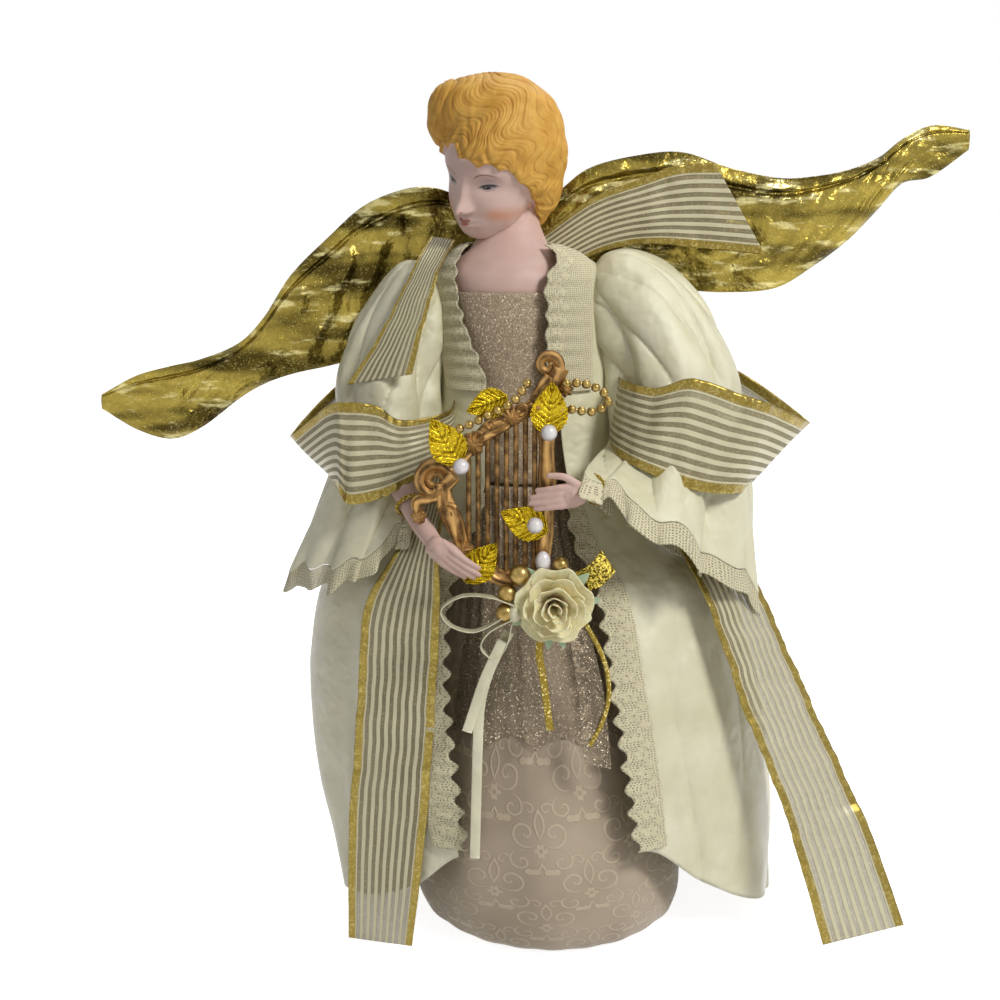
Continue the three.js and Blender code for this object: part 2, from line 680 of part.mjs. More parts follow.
// Peplum: a sheer glitter panel over the front of the skirt, with a scalloped edge
const peplumGap = 1.6;
const peplumLeft = THREE.MathUtils.degToRad(-50);
const peplumRight = THREE.MathUtils.degToRad(46);
const peplumEdgeShare = 0.61;
const peplumScallop = 0.02;
addPiece('peplum', sheerGauze, (grow) => sheet((u, v) => {
  const edge = peplumEdgeShare + peplumScallop * Math.abs(Math.sin(4 * Math.PI * u));
  return skirtPoint(mix(peplumLeft, peplumRight, u), mix(edge, 0.99, v), peplumGap);
}, () => ribbonThickness / 2, grow, 12, 4));

// Coat: satin, open in front, of a back panel and two fronts sewn at the sides
// Height as a share of the coat's top, half width, half depth and centre as shares of the coat's half sizes
const coatLevelShares = [
  [0.026, 0.96, 1, 0.05],
  [0.13, 0.98, 1, 0.048],
  [0.214, 1, 1, 0.026],
  [0.316, 1.005, 0.99, 0.004],
  [0.4, 0.985, 0.965, -0.011],
  [0.53, 0.885, 0.84, -0.004],
  [0.59, 0.67, 0.69, -0.002],
  [0.655, 0.5, 0.55, 0.03],
  [0.735, 0.43, 0.47, 0.04],
  [0.815, 0.385, 0.42, 0.05],
  [0.895, 0.375, 0.4, 0.055],
  [0.942, 0.37, 0.38, 0.06],
  [0.965, 0.35, 0.35, 0.06],
  [0.987, 0.27, 0.29, 0.045],
  [1, 0.19, 0.24, 0.02],
];
// Height share, then where the left and right front edges lie, in degrees round from the front
const coatEdgeDegrees = [
  [0, -24, 22],
  [0.53, -24, 23.5],
  [0.69, -25, 27],
  [0.81, -36, 25],
  [0.91, -55, 28],
  [0.96, -64, 34],
  [1, -82, 70],
];
// Degrees round from the front, then the height of the hem as a share of the coat's top
const coatHemShares = [
  [-180, 0.03], [-100, 0.038], [-60, 0.055], [-38, 0.1], [-22, 0.16],
  [22, 0.166], [38, 0.105], [60, 0.05], [100, 0.036], [180, 0.03],
];
const coatSeamDegrees = 98; // degrees
const coatFoldDepth = 3.2;
const coatForward = 3;

function coatPoint(degrees, share, outward) {
  const [width, depth, offset] = blendRows(coatLevelShares, share);
  const height = share * coatTopHeight;
  const angle = THREE.MathUtils.degToRad(degrees);
  const fading = 1 - THREE.MathUtils.smoothstep(share, 0.1, 0.62);
  const fold = coatFoldDepth * Math.cos(8 * angle + 0.6) * fading;
  const centre = lean(height) + offset * coatHalfWidth;
  const halfWidth = width * coatHalfWidth + fold + outward;
  const halfDepth = depth * coatHalfDepth + fold * 0.8 + outward;
  return oval(centre, coatForward, height, halfWidth, halfDepth, angle);
}

// A point of a coat panel: u runs from one side to the other, v from the hem to the top.
function coatPanelPoint(u, v, fromSide, toSide, outward) {
  const [leftEdge, rightEdge] = blendRows(coatEdgeDegrees, v);
  const pick = (side) => (side === 'left' ? leftEdge : side === 'right' ? rightEdge : side);
  const degrees = mix(pick(fromSide), pick(toSide), u);
  const round = degrees > 180 ? degrees - roundDegrees : degrees;
  const hem = blendRows(coatHemShares, round)[0];
  return coatPoint(degrees, mix(hem, 1, v), outward);
}

function coatPanel(fromSide, toSide, columns, grow) {
  const rows = 9;
  const shoulderShare = 1.6; // closer rows of points towards the shoulders
  return sheet((u, v) => coatPanelPoint(u, 1 - (1 - v) ** shoulderShare, fromSide, toSide, 0),
    () => satinThickness / 2, grow, columns, rows);
}
const seamDegrees = 0.5; // left between two panels at their seam
const roundDegrees = 360;
addPiece('coat_front_left', satin, (grow) => coatPanel(-coatSeamDegrees + seamDegrees, 'left', 8, grow));
addPiece('coat_front_right', satin, (grow) => coatPanel('right', coatSeamDegrees - seamDegrees, 8, grow));
const backFrom = coatSeamDegrees + seamDegrees;
addPiece('coat_back', satin, (grow) => coatPanel(backFrom, roundDegrees - backFrom, 12, grow));

// Sleeves: satin bells, set in at the shoulders and open over the hands
// Share along the sleeve, ring centre, then the ring's half axes towards the body and to the front
const sleeveLeftShares = [
  [0, [-0.1429, 0.0052, 0.7792, 0.0221, 0, -0.0255, 0, -0.039, 0]],
  [0.22, [-0.1636, 0, 0.7351, 0.0403, 0, -0.0247, -0.0026, -0.0519, -0.0052]],
  [0.46, [-0.1896, -0.0104, 0.6649, 0.0558, 0, -0.0117, -0.0026, -0.0623, -0.0026]],
  [0.72, [-0.1922, -0.0286, 0.5792, 0.0558, -0.0026, 0.0052, -0.0052, -0.0623, 0.0078]],
  [1, [-0.2286, -0.0727, 0.4909, 0.0649, -0.0338, 0.0286, -0.013, -0.0442, -0.0286]],
];
const sleeveRightShares = [
  [0, [0.0442, 0.0052, 0.7792, -0.0182, 0, -0.0364, 0, -0.039, 0]],
  [0.22, [0.0883, 0, 0.7481, -0.0468, 0, -0.0364, 0.0026, -0.0519, -0.0052]],
  [0.46, [0.1299, -0.013, 0.6805, -0.0675, 0, -0.0156, 0.0026, -0.0649, -0.0026]],
  [0.72, [0.1429, -0.0416, 0.5896, -0.0753, -0.0104, 0.0078, 0.0052, -0.0727, 0.0026]],
  [1, [0.1312, -0.1091, 0.5052, -0.0896, -0.0519, 0.0688, 0.0156, -0.0442, -0.0039]],
];
const sleevePleats = 5;
const sleeveColumns = 20;
const sleevePleatShare = 0.1;

function sleevePoint(rows, u, v) {
  const values = blendRows(rows.map(([place, shares]) => [place, ...shares]), v);
  const [centre, inward, forward] = [0, 3, 6].map((start) => at(...values.slice(start, start + 3)));
  const angle = 2 * Math.PI * u;
  const pleat = 1 + sleevePleatShare * v * v * Math.sin(sleevePleats * angle + 1);
  centre.addScaledVector(inward, Math.cos(angle) * pleat);
  return centre.addScaledVector(forward, Math.sin(angle) * pleat);
}
addPiece('sleeve_left', satin, (grow) => sheet(
  (u, v) => sleevePoint(sleeveLeftShares, u, v), () => satinThickness / 2, grow, sleeveColumns, 6, true));
addPiece('sleeve_right', satin, (grow) => sheet(
  (u, v) => sleevePoint(sleeveRightShares, u, v), () => satinThickness / 2, grow, sleeveColumns, 6, true));

// Wing wires and their tie: two steel wires bent along the wings' top edges and bound together at the back
const wireRadius = 0.8;
const tieRadius = 3.6;
const tieHalfHeight = 7;
const tiePlace = at(-0.0558, 0, 0.787).setY(wingPlane);
const wireLeave = 3; // height above the tie's middle at which the wires leave it
const wingThickest = wingPad / 2;
const wingEdgeHalf = 1.3;
const wingSweep = 6; // how far the wing tips lie behind their roots
const wireInset = 3.2;

// Across the span from root to tip: sideways place, then the top and the bottom edge, as shares of the span
const wingLeftShares = [
  [0, [-0.165, 1.605, 1.535]],
  [0.06, [-0.23, 1.67, 1.49]],
  [0.13, [-0.295, 1.6875, 1.42]],
  [0.21, [-0.365, 1.675, 1.355]],
  [0.3, [-0.44, 1.64, 1.3]],
  [0.4, [-0.515, 1.575, 1.2775]],
  [0.5, [-0.605, 1.4875, 1.2575]],
  [0.6, [-0.675, 1.385, 1.2325]],
  [0.68, [-0.735, 1.3275, 1.1975]],
  [0.77, [-0.825, 1.29, 1.13]],
  [0.85, [-0.9, 1.2725, 1.1]],
  [0.92, [-0.98, 1.25, 1.12]],
  [1, [-1.065, 1.205, 1.17]],
];
const wingRightShares = [
  [0, [-0.07, 1.6, 1.46]],
  [0.06, [0.0175, 1.68, 1.45]],
  [0.13, [0.085, 1.73, 1.45]],
  [0.21, [0.19, 1.7575, 1.45]],
  [0.3, [0.295, 1.765, 1.4525]],
  [0.4, [0.405, 1.73, 1.4475]],
  [0.5, [0.52, 1.7075, 1.4575]],
  [0.6, [0.61, 1.7125, 1.51]],
  [0.68, [0.685, 1.7275, 1.5675]],
  [0.77, [0.75, 1.755, 1.635]],
  [0.85, [0.805, 1.7975, 1.695]],
  [0.92, [0.87, 1.825, 1.71]],
  [1, [0.955, 1.815, 1.77]],
];

function wingPoint(rows, u, v) {
  const flat = rows.map(([place, values]) => [place, ...values]);
  const [x, top, bottom] = blendRows(flat, u).map((share) => share * wingSpan);
  return new THREE.Vector3(x, wingPlane + wingSweep * u * u, mix(bottom, top, v));
}

function wingHalf(u, v) {
  const pillow = (1 - (2 * v - 1) ** 4) * Math.min(1, 6 * u + 0.3) * Math.min(1, 4 * (1 - u) + 0.25);
  return mix(wingEdgeHalf, wingThickest, pillow);
}

function wingWire(rows, grow) {
  const places = [];
  const count = 12;
  const reachShare = 0.93;
  for (let k = 0; k <= count; k += 1) {
    const place = wingPoint(rows, (reachShare * k) / count, 1);
    place.z -= wireInset;
    places.push(place);
  }
  const root = places[0].clone().sub(tiePlace).setZ(0).normalize();
  const start = tiePlace.clone().addScaledVector(root, tieRadius + seamGap);
  start.z += wireLeave;
  places.unshift(start);
  return tube(places, wireRadius + grow, 5, 14);
}

addPiece('wing_tie', wireSteel, (grow) => {
  const radius = tieRadius + grow;
  const geometry = new THREE.CylinderGeometry(radius, radius, 2 * (tieHalfHeight + grow), 16);
  geometry.rotateX(Math.PI / 2);
  geometry.translate(tiePlace.x, tiePlace.y, tiePlace.z);
  return solidFrom(geometry);
});
addPiece('wing_wire_left', wireSteel, (grow) => wingWire(wingLeftShares, grow));
addPiece('wing_wire_right', wireSteel, (grow) => wingWire(wingRightShares, grow));

// Wings: padded gold cloth, each sewn round its wire
const wingStartShare = 0.02;

function wing(rows, grow) {
  const point = (u, v) => wingPoint(rows, mix(wingStartShare, 1, u), v);
  return sheet(point, wingHalf, grow, 14, 4);
}
addPiece('wing_left', lame, (grow) => wing(wingLeftShares, grow));
addPiece('wing_right', lame, (grow) => wing(wingRightShares, grow));

// Ribbon bow: one wide wired ribbon tied at the back, a loop round each sleeve, two tails, two short ends
// Each row: share along the ribbon, a point of its lower or outer edge, then the point across from it
const ribbonShares = {
  ribbon_loop_right: [
    [0, [-0.026, 0.1013, 0.6182, -0.026, 0.1013, 0.6494]],
    [0.07, [0.0156, 0.1065, 0.6052, 0.0156, 0.1065, 0.6597]],
    [0.16, [0.0883, 0.0779, 0.5766, 0.0987, 0.0831, 0.6753]],
    [0.27, [0.1766, 0.0623, 0.5584, 0.2078, 0.0571, 0.6675]],
    [0.37, [0.2273, 0.0078, 0.5299, 0.3, 0.0052, 0.6078]],
    [0.46, [0.2, -0.1143, 0.5447, 0.2442, -0.0883, 0.6387]],
    [0.54, [0.1608, -0.1351, 0.5504, 0.2068, -0.1065, 0.6532]],
    [0.62, [0.126, -0.1403, 0.5605, 0.1499, -0.1117, 0.6722]],
    [0.7, [0.0857, -0.1299, 0.5777, 0.1091, -0.1039, 0.661]],
    [0.78, [0.0636, -0.0883, 0.587, 0.0753, -0.0675, 0.6649]],
    [0.87, [0.0597, 0.0156, 0.587, 0.0675, 0.0208, 0.6649]],
    [0.95, [0.0104, 0.0922, 0.613, 0.0104, 0.0922, 0.6545]],
    [1, [-0.026, 0.0935, 0.6182, -0.026, 0.0935, 0.6494]],
  ],
  ribbon_loop_left: [
    [0, [-0.0571, 0.1013, 0.6182, -0.0571, 0.1013, 0.6494]],
    [0.07, [-0.0987, 0.1039, 0.6052, -0.0987, 0.1039, 0.6597]],
    [0.16, [-0.161, 0.0805, 0.5766, -0.1662, 0.0831, 0.6701]],
    [0.27, [-0.2234, 0.0545, 0.5532, -0.2494, 0.0519, 0.6494]],
    [0.37, [-0.2545, 0.0026, 0.5345, -0.3086, 0, 0.5909]],
    [0.46, [-0.2408, -0.1091, 0.547, -0.2553, -0.0935, 0.6387]],
    [0.54, [-0.2299, -0.1247, 0.5343, -0.2286, -0.1117, 0.6462]],
    [0.62, [-0.1948, -0.1299, 0.5416, -0.1987, -0.1117, 0.6421]],
    [0.7, [-0.1649, -0.1195, 0.5561, -0.1701, -0.1013, 0.6247]],
    [0.78, [-0.1221, -0.0779, 0.574, -0.1195, -0.0675, 0.6312]],
    [0.87, [-0.1182, 0.0156, 0.5818, -0.1156, 0.0208, 0.6494]],
    [0.95, [-0.0883, 0.0909, 0.613, -0.0883, 0.0909, 0.6545]],
    [1, [-0.0571, 0.0935, 0.6182, -0.0571, 0.0935, 0.6494]],
  ],
  ribbon_end_right: [
    [0, [0.0068, 0.0431, 0.7792, -0.0156, 0.0519, 0.8208]],
    [0.15, [0.0623, 0.0468, 0.8026, 0.0416, 0.0468, 0.8623]],
    [0.4, [0.1143, 0.0442, 0.8104, 0.101, 0.0442, 0.8857]],
    [0.7, [0.1818, 0.0442, 0.8052, 0.1429, 0.0442, 0.9013]],
    [1, [0.2499, 0.0442, 0.7984, 0.1878, 0.0442, 0.9042]],
  ],
  ribbon_end_left: [
    [0, [-0.1429, 0.0208, 0.8208, -0.1143, 0.0234, 0.8169]],
    [0.3, [-0.161, -0.0442, 0.787, -0.1299, -0.0571, 0.7844]],
    [0.6, [-0.1922, -0.0675, 0.7234, -0.1442, -0.0805, 0.7377]],
    [1, [-0.2343, -0.0701, 0.6597, -0.16, -0.0896, 0.6743]],
  ],
  ribbon_tail_right: [
    [0, [0.0935, -0.0623, 0.5558, 0.1403, -0.0156, 0.5351]],
    [0.14, [0.1571, -0.1039, 0.4481, 0.2182, -0.0571, 0.4571]],
    [0.32, [0.1888, -0.1169, 0.3714, 0.2623, -0.0701, 0.3714]],
    [0.48, [0.2138, -0.1221, 0.2987, 0.2961, -0.0779, 0.2987]],
    [0.68, [0.2582, -0.1299, 0.1922, 0.3429, -0.0883, 0.2]],
    [0.84, [0.2831, -0.1455, 0.1143, 0.374, -0.1091, 0.1325]],
    [1, [0.3109, -0.1558, 0.0203, 0.4104, -0.1299, 0.0317]],
  ],
  ribbon_tail_left: [
    [0, [-0.1558, -0.0519, 0.5506, -0.1143, -0.0805, 0.561]],
    [0.12, [-0.1722, -0.1143, 0.4925, -0.1283, -0.1351, 0.4987]],
    [0.27, [-0.213, -0.1247, 0.4208, -0.1291, -0.1455, 0.4104]],
    [0.4, [-0.2208, -0.1221, 0.3584, -0.1325, -0.1481, 0.3532]],
    [0.6, [-0.2286, -0.1195, 0.2545, -0.139, -0.1506, 0.2545]],
    [0.8, [-0.2377, -0.1195, 0.1506, -0.1481, -0.1481, 0.1506]],
    [1, [-0.2408, -0.1195, 0.0104, -0.1649, -0.1403, 0.0104]],
  ],
};
const knotHalfHeight = 10;
const knotHalf = new THREE.Vector3(0.9, 0.7, 1).multiplyScalar(knotHalfHeight);
addPiece('ribbon_knot', wiredRibbon, (grow) => {
  const half = knotHalf.clone().addScalar(grow);
  return ellipsoid(at(-0.0416, 0.1052, 0.6338), half, 10, 7);
});
for (const [name, rows] of Object.entries(ribbonShares)) {
  const flat = rows.map(([place, values]) => [place, ...values]);
  const columns = 2 * rows.length;
  const point = (u, v) => {
    const values = blendRows(flat, u);
    return at(...values.slice(0, 3)).lerp(at(...values.slice(3)), v);
  };
  addPiece(name, wiredRibbon, (grow) => sheet(point, () => ribbonThickness / 2, grow, columns, 1));
}

// Laces: ruffled bands sewn on the coat's neck and front edges, and round the cuffs
const laceLift = 2.1; // from the satin's middle to the lace's
const collarLaceDegrees = 34; // degrees round the coat
const edgeLaceDegrees = 9; // degrees round the coat
const laceScallopDegrees = 1; // degrees

function edgeLace(side, fromShare, toShare, width, columns, grow) {
  const turned = side === 'left' ? -1 : 1;
  return sheet((u, v) => {
    const [leftEdge, rightEdge] = blendRows(coatEdgeDegrees, v * (toShare - fromShare) + fromShare);
    const edge = side === 'left' ? leftEdge : rightEdge;
    const scallop = laceScallopDegrees * Math.sin(columns * Math.PI * v) * (1 - u);
    const reach = turned * (width * (u - 0.35) + scallop);
    const degrees = edge + reach;
    const hem = blendRows(coatHemShares, degrees)[0];
    return coatPoint(degrees, Math.max(mix(fromShare, toShare, v), hem), laceLift);
  }, () => laceThickness / 2, grow, 2, columns);
}
addPiece('collar_lace_left', lace, (grow) => edgeLace('left', 0.8, 1, collarLaceDegrees, 8, grow));
addPiece('collar_lace_right', lace, (grow) => edgeLace('right', 0.8, 1, collarLaceDegrees, 8, grow));
addPiece('edge_lace_left', lace, (grow) => edgeLace('left', 0.17, 0.66, edgeLaceDegrees, 14, grow));
addPiece('edge_lace_right', lace, (grow) => edgeLace('right', 0.17, 0.66, edgeLaceDegrees, 14, grow));
const cuffLaceWidth = 8;
const cuffSeam = 1.1; // from the satin's edge to the lace's
const cuffScallop = 0.7;

// The lace runs on from the sleeve's edge, the way that the satin runs there.
function cuffLace(rows, grow) {
  return sheet((u, v) => {
    const edge = sleevePoint(rows, u, 1);
    const onward = edge.clone().sub(sleevePoint(rows, u, 0.93)).normalize();
    const scallop = cuffScallop * Math.cos(sleeveColumns * Math.PI * u) * v;
    return edge.addScaledVector(onward, mix(cuffSeam, cuffLaceWidth, v) + scallop);
  }, () => laceThickness / 2, grow, sleeveColumns, 1, true);
}
addPiece('cuff_lace_left', lace, (grow) => cuffLace(sleeveLeftShares, grow));
addPiece('cuff_lace_right', lace, (grow) => cuffLace(sleeveRightShares, grow));

// Leaves: gold foil, serrated, wired to the front of the harp
const leafColumns = 10;
const leafLength = 22;
const leafHalfWidth = 7.2;
const leafHalfThickness = 0.35;
const leafCup = 0.9; // how far a leaf's edges stand forward of its midrib
const harpFront = harpPlane - harpBarRadius;
// Stem end on the harp's plane, direction as a share of a full turn from the viewer's right, length
const leafShares = [
  [[-0.0545, 0.661], 0.5556, 0.8],
  [[-0.1052, 0.5883], 0.3389, 1],
  [[-0.0125, 0.6195], 0.2333, 1],
  [[-0.0117, 0.5143], 0.4333, 0.95],
  [[-0.1, 0.4584], 0.1444, 0.95],
];

function leafSolid(stem, turn, share, grow) {
  const angle = 2 * Math.PI * turn;
  const along = new THREE.Vector3(Math.cos(angle), 0, Math.sin(angle));
  const across = new THREE.Vector3(-Math.sin(angle), 0, Math.cos(angle));
  const base = at(stem[0], 0, stem[1]).setY(harpFront - seamGap - leafHalfThickness - leafCup);
  return sheet((u, v) => {
    const teeth = 1 + 0.1 * Math.cos(leafColumns * Math.PI * u);
    const half = leafHalfWidth * share * (Math.sin(Math.PI * u ** 0.75) * teeth + 0.06);
    const side = 2 * v - 1;
    const place = base.clone().addScaledVector(along, leafLength * share * u);
    place.addScaledVector(across, half * side);
    place.y += leafCup * (1 - side * side);
    return place;
  }, () => leafHalfThickness, grow, leafColumns, 2);
}
leafShares.forEach(([stem, turn, share], index) => {
  addPiece(`leaf_${index + 1}`, foil, (grow) => leafSolid(stem, turn, share, grow));
});

// Pearls on the leaves' stems, and gold berries round the rose
const pearlRadius = 3.4;
const berryRadius = 4.2;
const pearlShares = [[-0.1036, 0.5878], [-0.0106, 0.6242], [-0.0249, 0.5236]];
const berryShares = [
  [[-0.0408, 0.4688], 1.08], [[-0.0545, 0.4478], 0.97], [[-0.0566, 0.426], 1], [[0.0031, 0.479], 0.82],
];

function spherePlace(place, radius, seat) {
  return at(place[0], 0, place[1]).setY(seat - radius - seamGap);
}

function ball(centre, radius, grow) {
  return ellipsoid(centre, new THREE.Vector3(1, 1, 1).multiplyScalar(radius + grow), 8, 5);
}
const leafFront = harpFront - 2 * seamGap - 2 * leafHalfThickness;
pearlShares.forEach((place, index) => {
  const centre = spherePlace(place, pearlRadius, leafFront);
  addPiece(`pearl_${index + 1}`, pearl, (grow) => ball(centre, pearlRadius, grow));
});
addPiece('pearl_long', pearl, (grow) => {
  const half = new THREE.Vector3(0.95, 0.95, 1.3).multiplyScalar(pearlRadius).addScalar(grow);
  return ellipsoid(spherePlace([-0.0161, 0.4831], pearlRadius, harpFront), half, 8, 5);
});
berryShares.forEach(([place, share], index) => {
  const radius = berryRadius * share;
  const centre = spherePlace(place, radius, harpFront);
  addPiece(`berry_${index + 1}`, goldBead, (grow) => ball(centre, radius, grow));
});

// Bead garlands: gold beads moulded on a thread, looped at the harp's top
const beadRadius = 1.9;
const threadRadius = 0.45;
const garlandShares = {
  bead_garland_right: [
    [0.0078, -0.1662, 0.674], [0.0208, -0.1636, 0.6743], [0.0338, -0.161, 0.6714],
    [0.0478, -0.1584, 0.6639], [0.0532, -0.1584, 0.653],
    [0.0447, -0.1584, 0.6457], [0.0319, -0.161, 0.6431],
    [0.0179, -0.1636, 0.6457], [0.0039, -0.1688, 0.6481],
  ],
  bead_garland_left: [
    [-0.0338, -0.1636, 0.674], [-0.0403, -0.1714, 0.6649], [-0.0494, -0.1753, 0.6553],
    [-0.0623, -0.1766, 0.6483], [-0.0766, -0.1766, 0.641],
    [-0.0909, -0.1753, 0.6332], [-0.1052, -0.1714, 0.627],
  ],
};
for (const [name, rows] of Object.entries(garlandShares)) {
  const places = rows.map((row) => at(...row));
  const curve = new THREE.CatmullRomCurve3(places);
  const count = Math.floor(curve.getLength() / (2.5 * beadRadius));
  addPiece(name, goldBead, (grow) => {
    const beads = [];
    for (let k = 0; k <= count; k += 1) {
      const radius = beadRadius + grow;
      beads.push(ellipsoid(curve.getPointAt(k / count), new THREE.Vector3(radius, radius, radius), 5, 3));
    }
    return joined([tube(places, threadRadius + grow, 3, count), ...beads]);
  });
}

// Rose: paper petals in three whorls round a bud, on a leafy calyx
const roseRadius = 17;
const rosePlace = at(-0.0039, 0, 0.4364).setY(harpFront - seamGap);
const roseDepth = 19;
const petalThickness = 1.1;
// Radius and depth as shares, turn, and lobes of each whorl
const roseWhorls = [
  { radius: 1, depth: 0.5, turn: 0.2, lobes: 5 },
  { radius: 0.72, depth: 0.8, turn: 0.8, lobes: 4 },
  { radius: 0.44, depth: 1, turn: 1.6, lobes: 3 },
];
addPiece('rose', petal, (grow) => {
  const whorls = roseWhorls.map(({ radius, depth, turn, lobes }) => sheet((u, v) => {
    const angle = 2 * Math.PI * u;
    const lobe = 1 + 0.13 * Math.cos(lobes * angle + turn) * v;
    const spread = roseRadius * radius * mix(0.22, 1, v ** 0.6) * lobe;
    const rise = roseDepth * depth * (0.08 + 0.92 * v ** 1.7);
    const place = rosePlace.clone();
    place.x += spread * Math.cos(angle);
    place.z += spread * Math.sin(angle);
    place.y -= rise;
    return place;
  }, () => petalThickness / 2, grow, 9, 2, true));
  const bud = new THREE.Vector3(0.3, 0.5, 0.3).multiplyScalar(roseRadius).addScalar(grow);
  const budPlace = rosePlace.clone().setY(rosePlace.y - bud.y);
  return joined([...whorls, ellipsoid(budPlace, bud, 8, 6)]);
});

// Small bow: narrow satin ribbon in two loops beside the rose
const narrowRibbonHalf = 2.4;
const bowShares = [
  [[-0.0468, 0.4364], [-0.0727, 0.4455], [-0.1039, 0.4462], [-0.126, 0.4312],
    [-0.1169, 0.4143], [-0.0883, 0.4073], [-0.0468, 0.4312]],
  [[-0.0494, 0.4156], [-0.0571, 0.387], [-0.0701, 0.3771], [-0.0831, 0.3891],
    [-0.0753, 0.4052], [-0.0494, 0.4208]],
];
const bowForward = 6;
const bowPlane = harpFront - bowForward;
const bowKnotHalfHeight = 4.2;
addPiece('satin_bow', satin, (grow) => {
  const loops = bowShares.map((rows) => {
    const curve = new THREE.CatmullRomCurve3(rows.map(([x, z]) => at(x, 0, z).setY(bowPlane)));
    const point = (u, v) => {
      const place = curve.getPointAt(u);
      place.y += (2 * v - 1) * narrowRibbonHalf;
      return place;
    };
    return sheet(point, () => ribbonThickness / 2, grow, 10, 1);
  });
  const knot = new THREE.Vector3(0.76, 0.76, 1).multiplyScalar(bowKnotHalfHeight).addScalar(grow);
  return joined([...loops, ellipsoid(at(-0.0468, 0, 0.426).setY(bowPlane), knot, 8, 5)]);
});

// Hanging ends of the spray: two satin ends, a gold braid end, a sheer end and a gold cord
const hangingSides = 8;
const satinEndHalf = 2.2;
const braidEndHalf = 1.6;
const cordRadius = 1;
const hangingEndShares = {
  satin_tail_long: { finish: satin, radius: satinEndHalf, places: [
    at(-0.0519, -0.1818, 0.4052), at(-0.0649, -0.1766, 0.3792), at(-0.0766, -0.174, 0.3506),
    at(-0.0844, -0.1714, 0.3169), at(-0.087, -0.1714, 0.2727),
    at(-0.0883, -0.1714, 0.2286), at(-0.0896, -0.1714, 0.1818), at(-0.0909, -0.1714, 0.1351),
  ] },
  satin_tail_short: { finish: satin, radius: satinEndHalf, places: [
    at(-0.0597, -0.1922, 0.3974), at(-0.0701, -0.1896, 0.374), at(-0.0805, -0.187, 0.3481),
    at(-0.0896, -0.1844, 0.3195), at(-0.0987, -0.1844, 0.2909),
  ] },
  gold_tail: { finish: goldBraid, radius: braidEndHalf, places: [
    at(-0.0143, -0.174, 0.4182), at(-0.0195, -0.174, 0.3792), at(-0.0156, -0.1714, 0.3532),
    at(-0.0112, -0.1714, 0.3221), at(-0.0068, -0.1714, 0.2883),
  ] },
  gold_cord: { finish: goldBraid, radius: cordRadius, places: [
    at(0.026, -0.1766, 0.4208), at(0.0468, -0.174, 0.3818), at(0.0558, -0.1714, 0.3532),
    at(0.0571, -0.1714, 0.3221), at(0.0494, -0.1714, 0.2935), at(0.0377, -0.1714, 0.2701),
  ] },
};
for (const [name, { finish, radius, places }] of Object.entries(hangingEndShares)) {
  const steps = Math.round(new THREE.CatmullRomCurve3(places).getLength() / (5 * radius));
  addPiece(name, finish, (grow) => tube(places, radius + grow, hangingSides, Math.max(steps, 6)));
}

// Sheer ribbon end and a folded end of gold mesh ribbon, tucked behind the rose
const sprayShares = {
  sheer_tail: { finish: sheerGauze, rows: [
    [0, [0.0104, -0.1766, 0.4182, 0.0312, -0.1766, 0.4208]],
    [0.5, [0.0234, -0.1714, 0.3325, 0.0519, -0.1714, 0.3325]],
    [1, [0.0312, -0.1714, 0.2494, 0.0623, -0.1714, 0.2416]],
  ] },
  mesh_end: { finish: goldBraid, rows: [
    [0, [0.013, -0.1792, 0.4675, 0.0234, -0.1792, 0.4468]],
    [0.5, [0.0338, -0.1844, 0.4805, 0.0468, -0.1844, 0.4571]],
    [1, [0.0468, -0.1818, 0.4961, 0.0623, -0.1818, 0.4727]],
  ] },
};
for (const [name, { finish, rows }] of Object.entries(sprayShares)) {
  const flat = rows.map(([place, values]) => [place, ...values]);
  const point = (u, v) => {
    const values = blendRows(flat, u);
    return at(...values.slice(0, 3)).lerp(at(...values.slice(3)), v);
  };
  addPiece(name, finish, (grow) => sheet(point, () => ribbonThickness / 2, grow, 8, 2));
}

export default group;
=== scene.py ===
import math

import bmesh
import bpy
import numpy as np
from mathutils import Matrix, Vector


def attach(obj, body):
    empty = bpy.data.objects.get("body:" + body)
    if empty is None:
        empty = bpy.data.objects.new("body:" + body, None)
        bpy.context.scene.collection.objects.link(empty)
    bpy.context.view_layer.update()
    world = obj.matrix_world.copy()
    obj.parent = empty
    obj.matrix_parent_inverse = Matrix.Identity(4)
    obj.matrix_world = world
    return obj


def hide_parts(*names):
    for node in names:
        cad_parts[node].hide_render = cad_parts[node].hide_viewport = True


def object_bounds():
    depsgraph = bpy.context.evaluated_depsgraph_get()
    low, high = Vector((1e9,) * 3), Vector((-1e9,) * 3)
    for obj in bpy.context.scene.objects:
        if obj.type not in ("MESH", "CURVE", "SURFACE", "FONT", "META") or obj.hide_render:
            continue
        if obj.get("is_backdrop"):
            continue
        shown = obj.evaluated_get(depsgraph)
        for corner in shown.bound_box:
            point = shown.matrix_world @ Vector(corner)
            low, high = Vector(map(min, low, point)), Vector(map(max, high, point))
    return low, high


# An angel tree topper: a doll with a porcelain head and hands on a hollow cone, dressed in brocade,
# satin and lace, with padded gold wings, a wired-ribbon bow and a cast harp with a floral spray.
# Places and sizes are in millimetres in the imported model's frame: +Z is up and the front is -Y.
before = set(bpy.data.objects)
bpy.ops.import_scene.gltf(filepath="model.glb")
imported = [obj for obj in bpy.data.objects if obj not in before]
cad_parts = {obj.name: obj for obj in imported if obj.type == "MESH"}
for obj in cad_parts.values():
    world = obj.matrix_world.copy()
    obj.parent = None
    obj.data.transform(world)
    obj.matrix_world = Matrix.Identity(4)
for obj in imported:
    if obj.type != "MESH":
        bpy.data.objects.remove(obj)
cad_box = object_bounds()
MM = 0.001

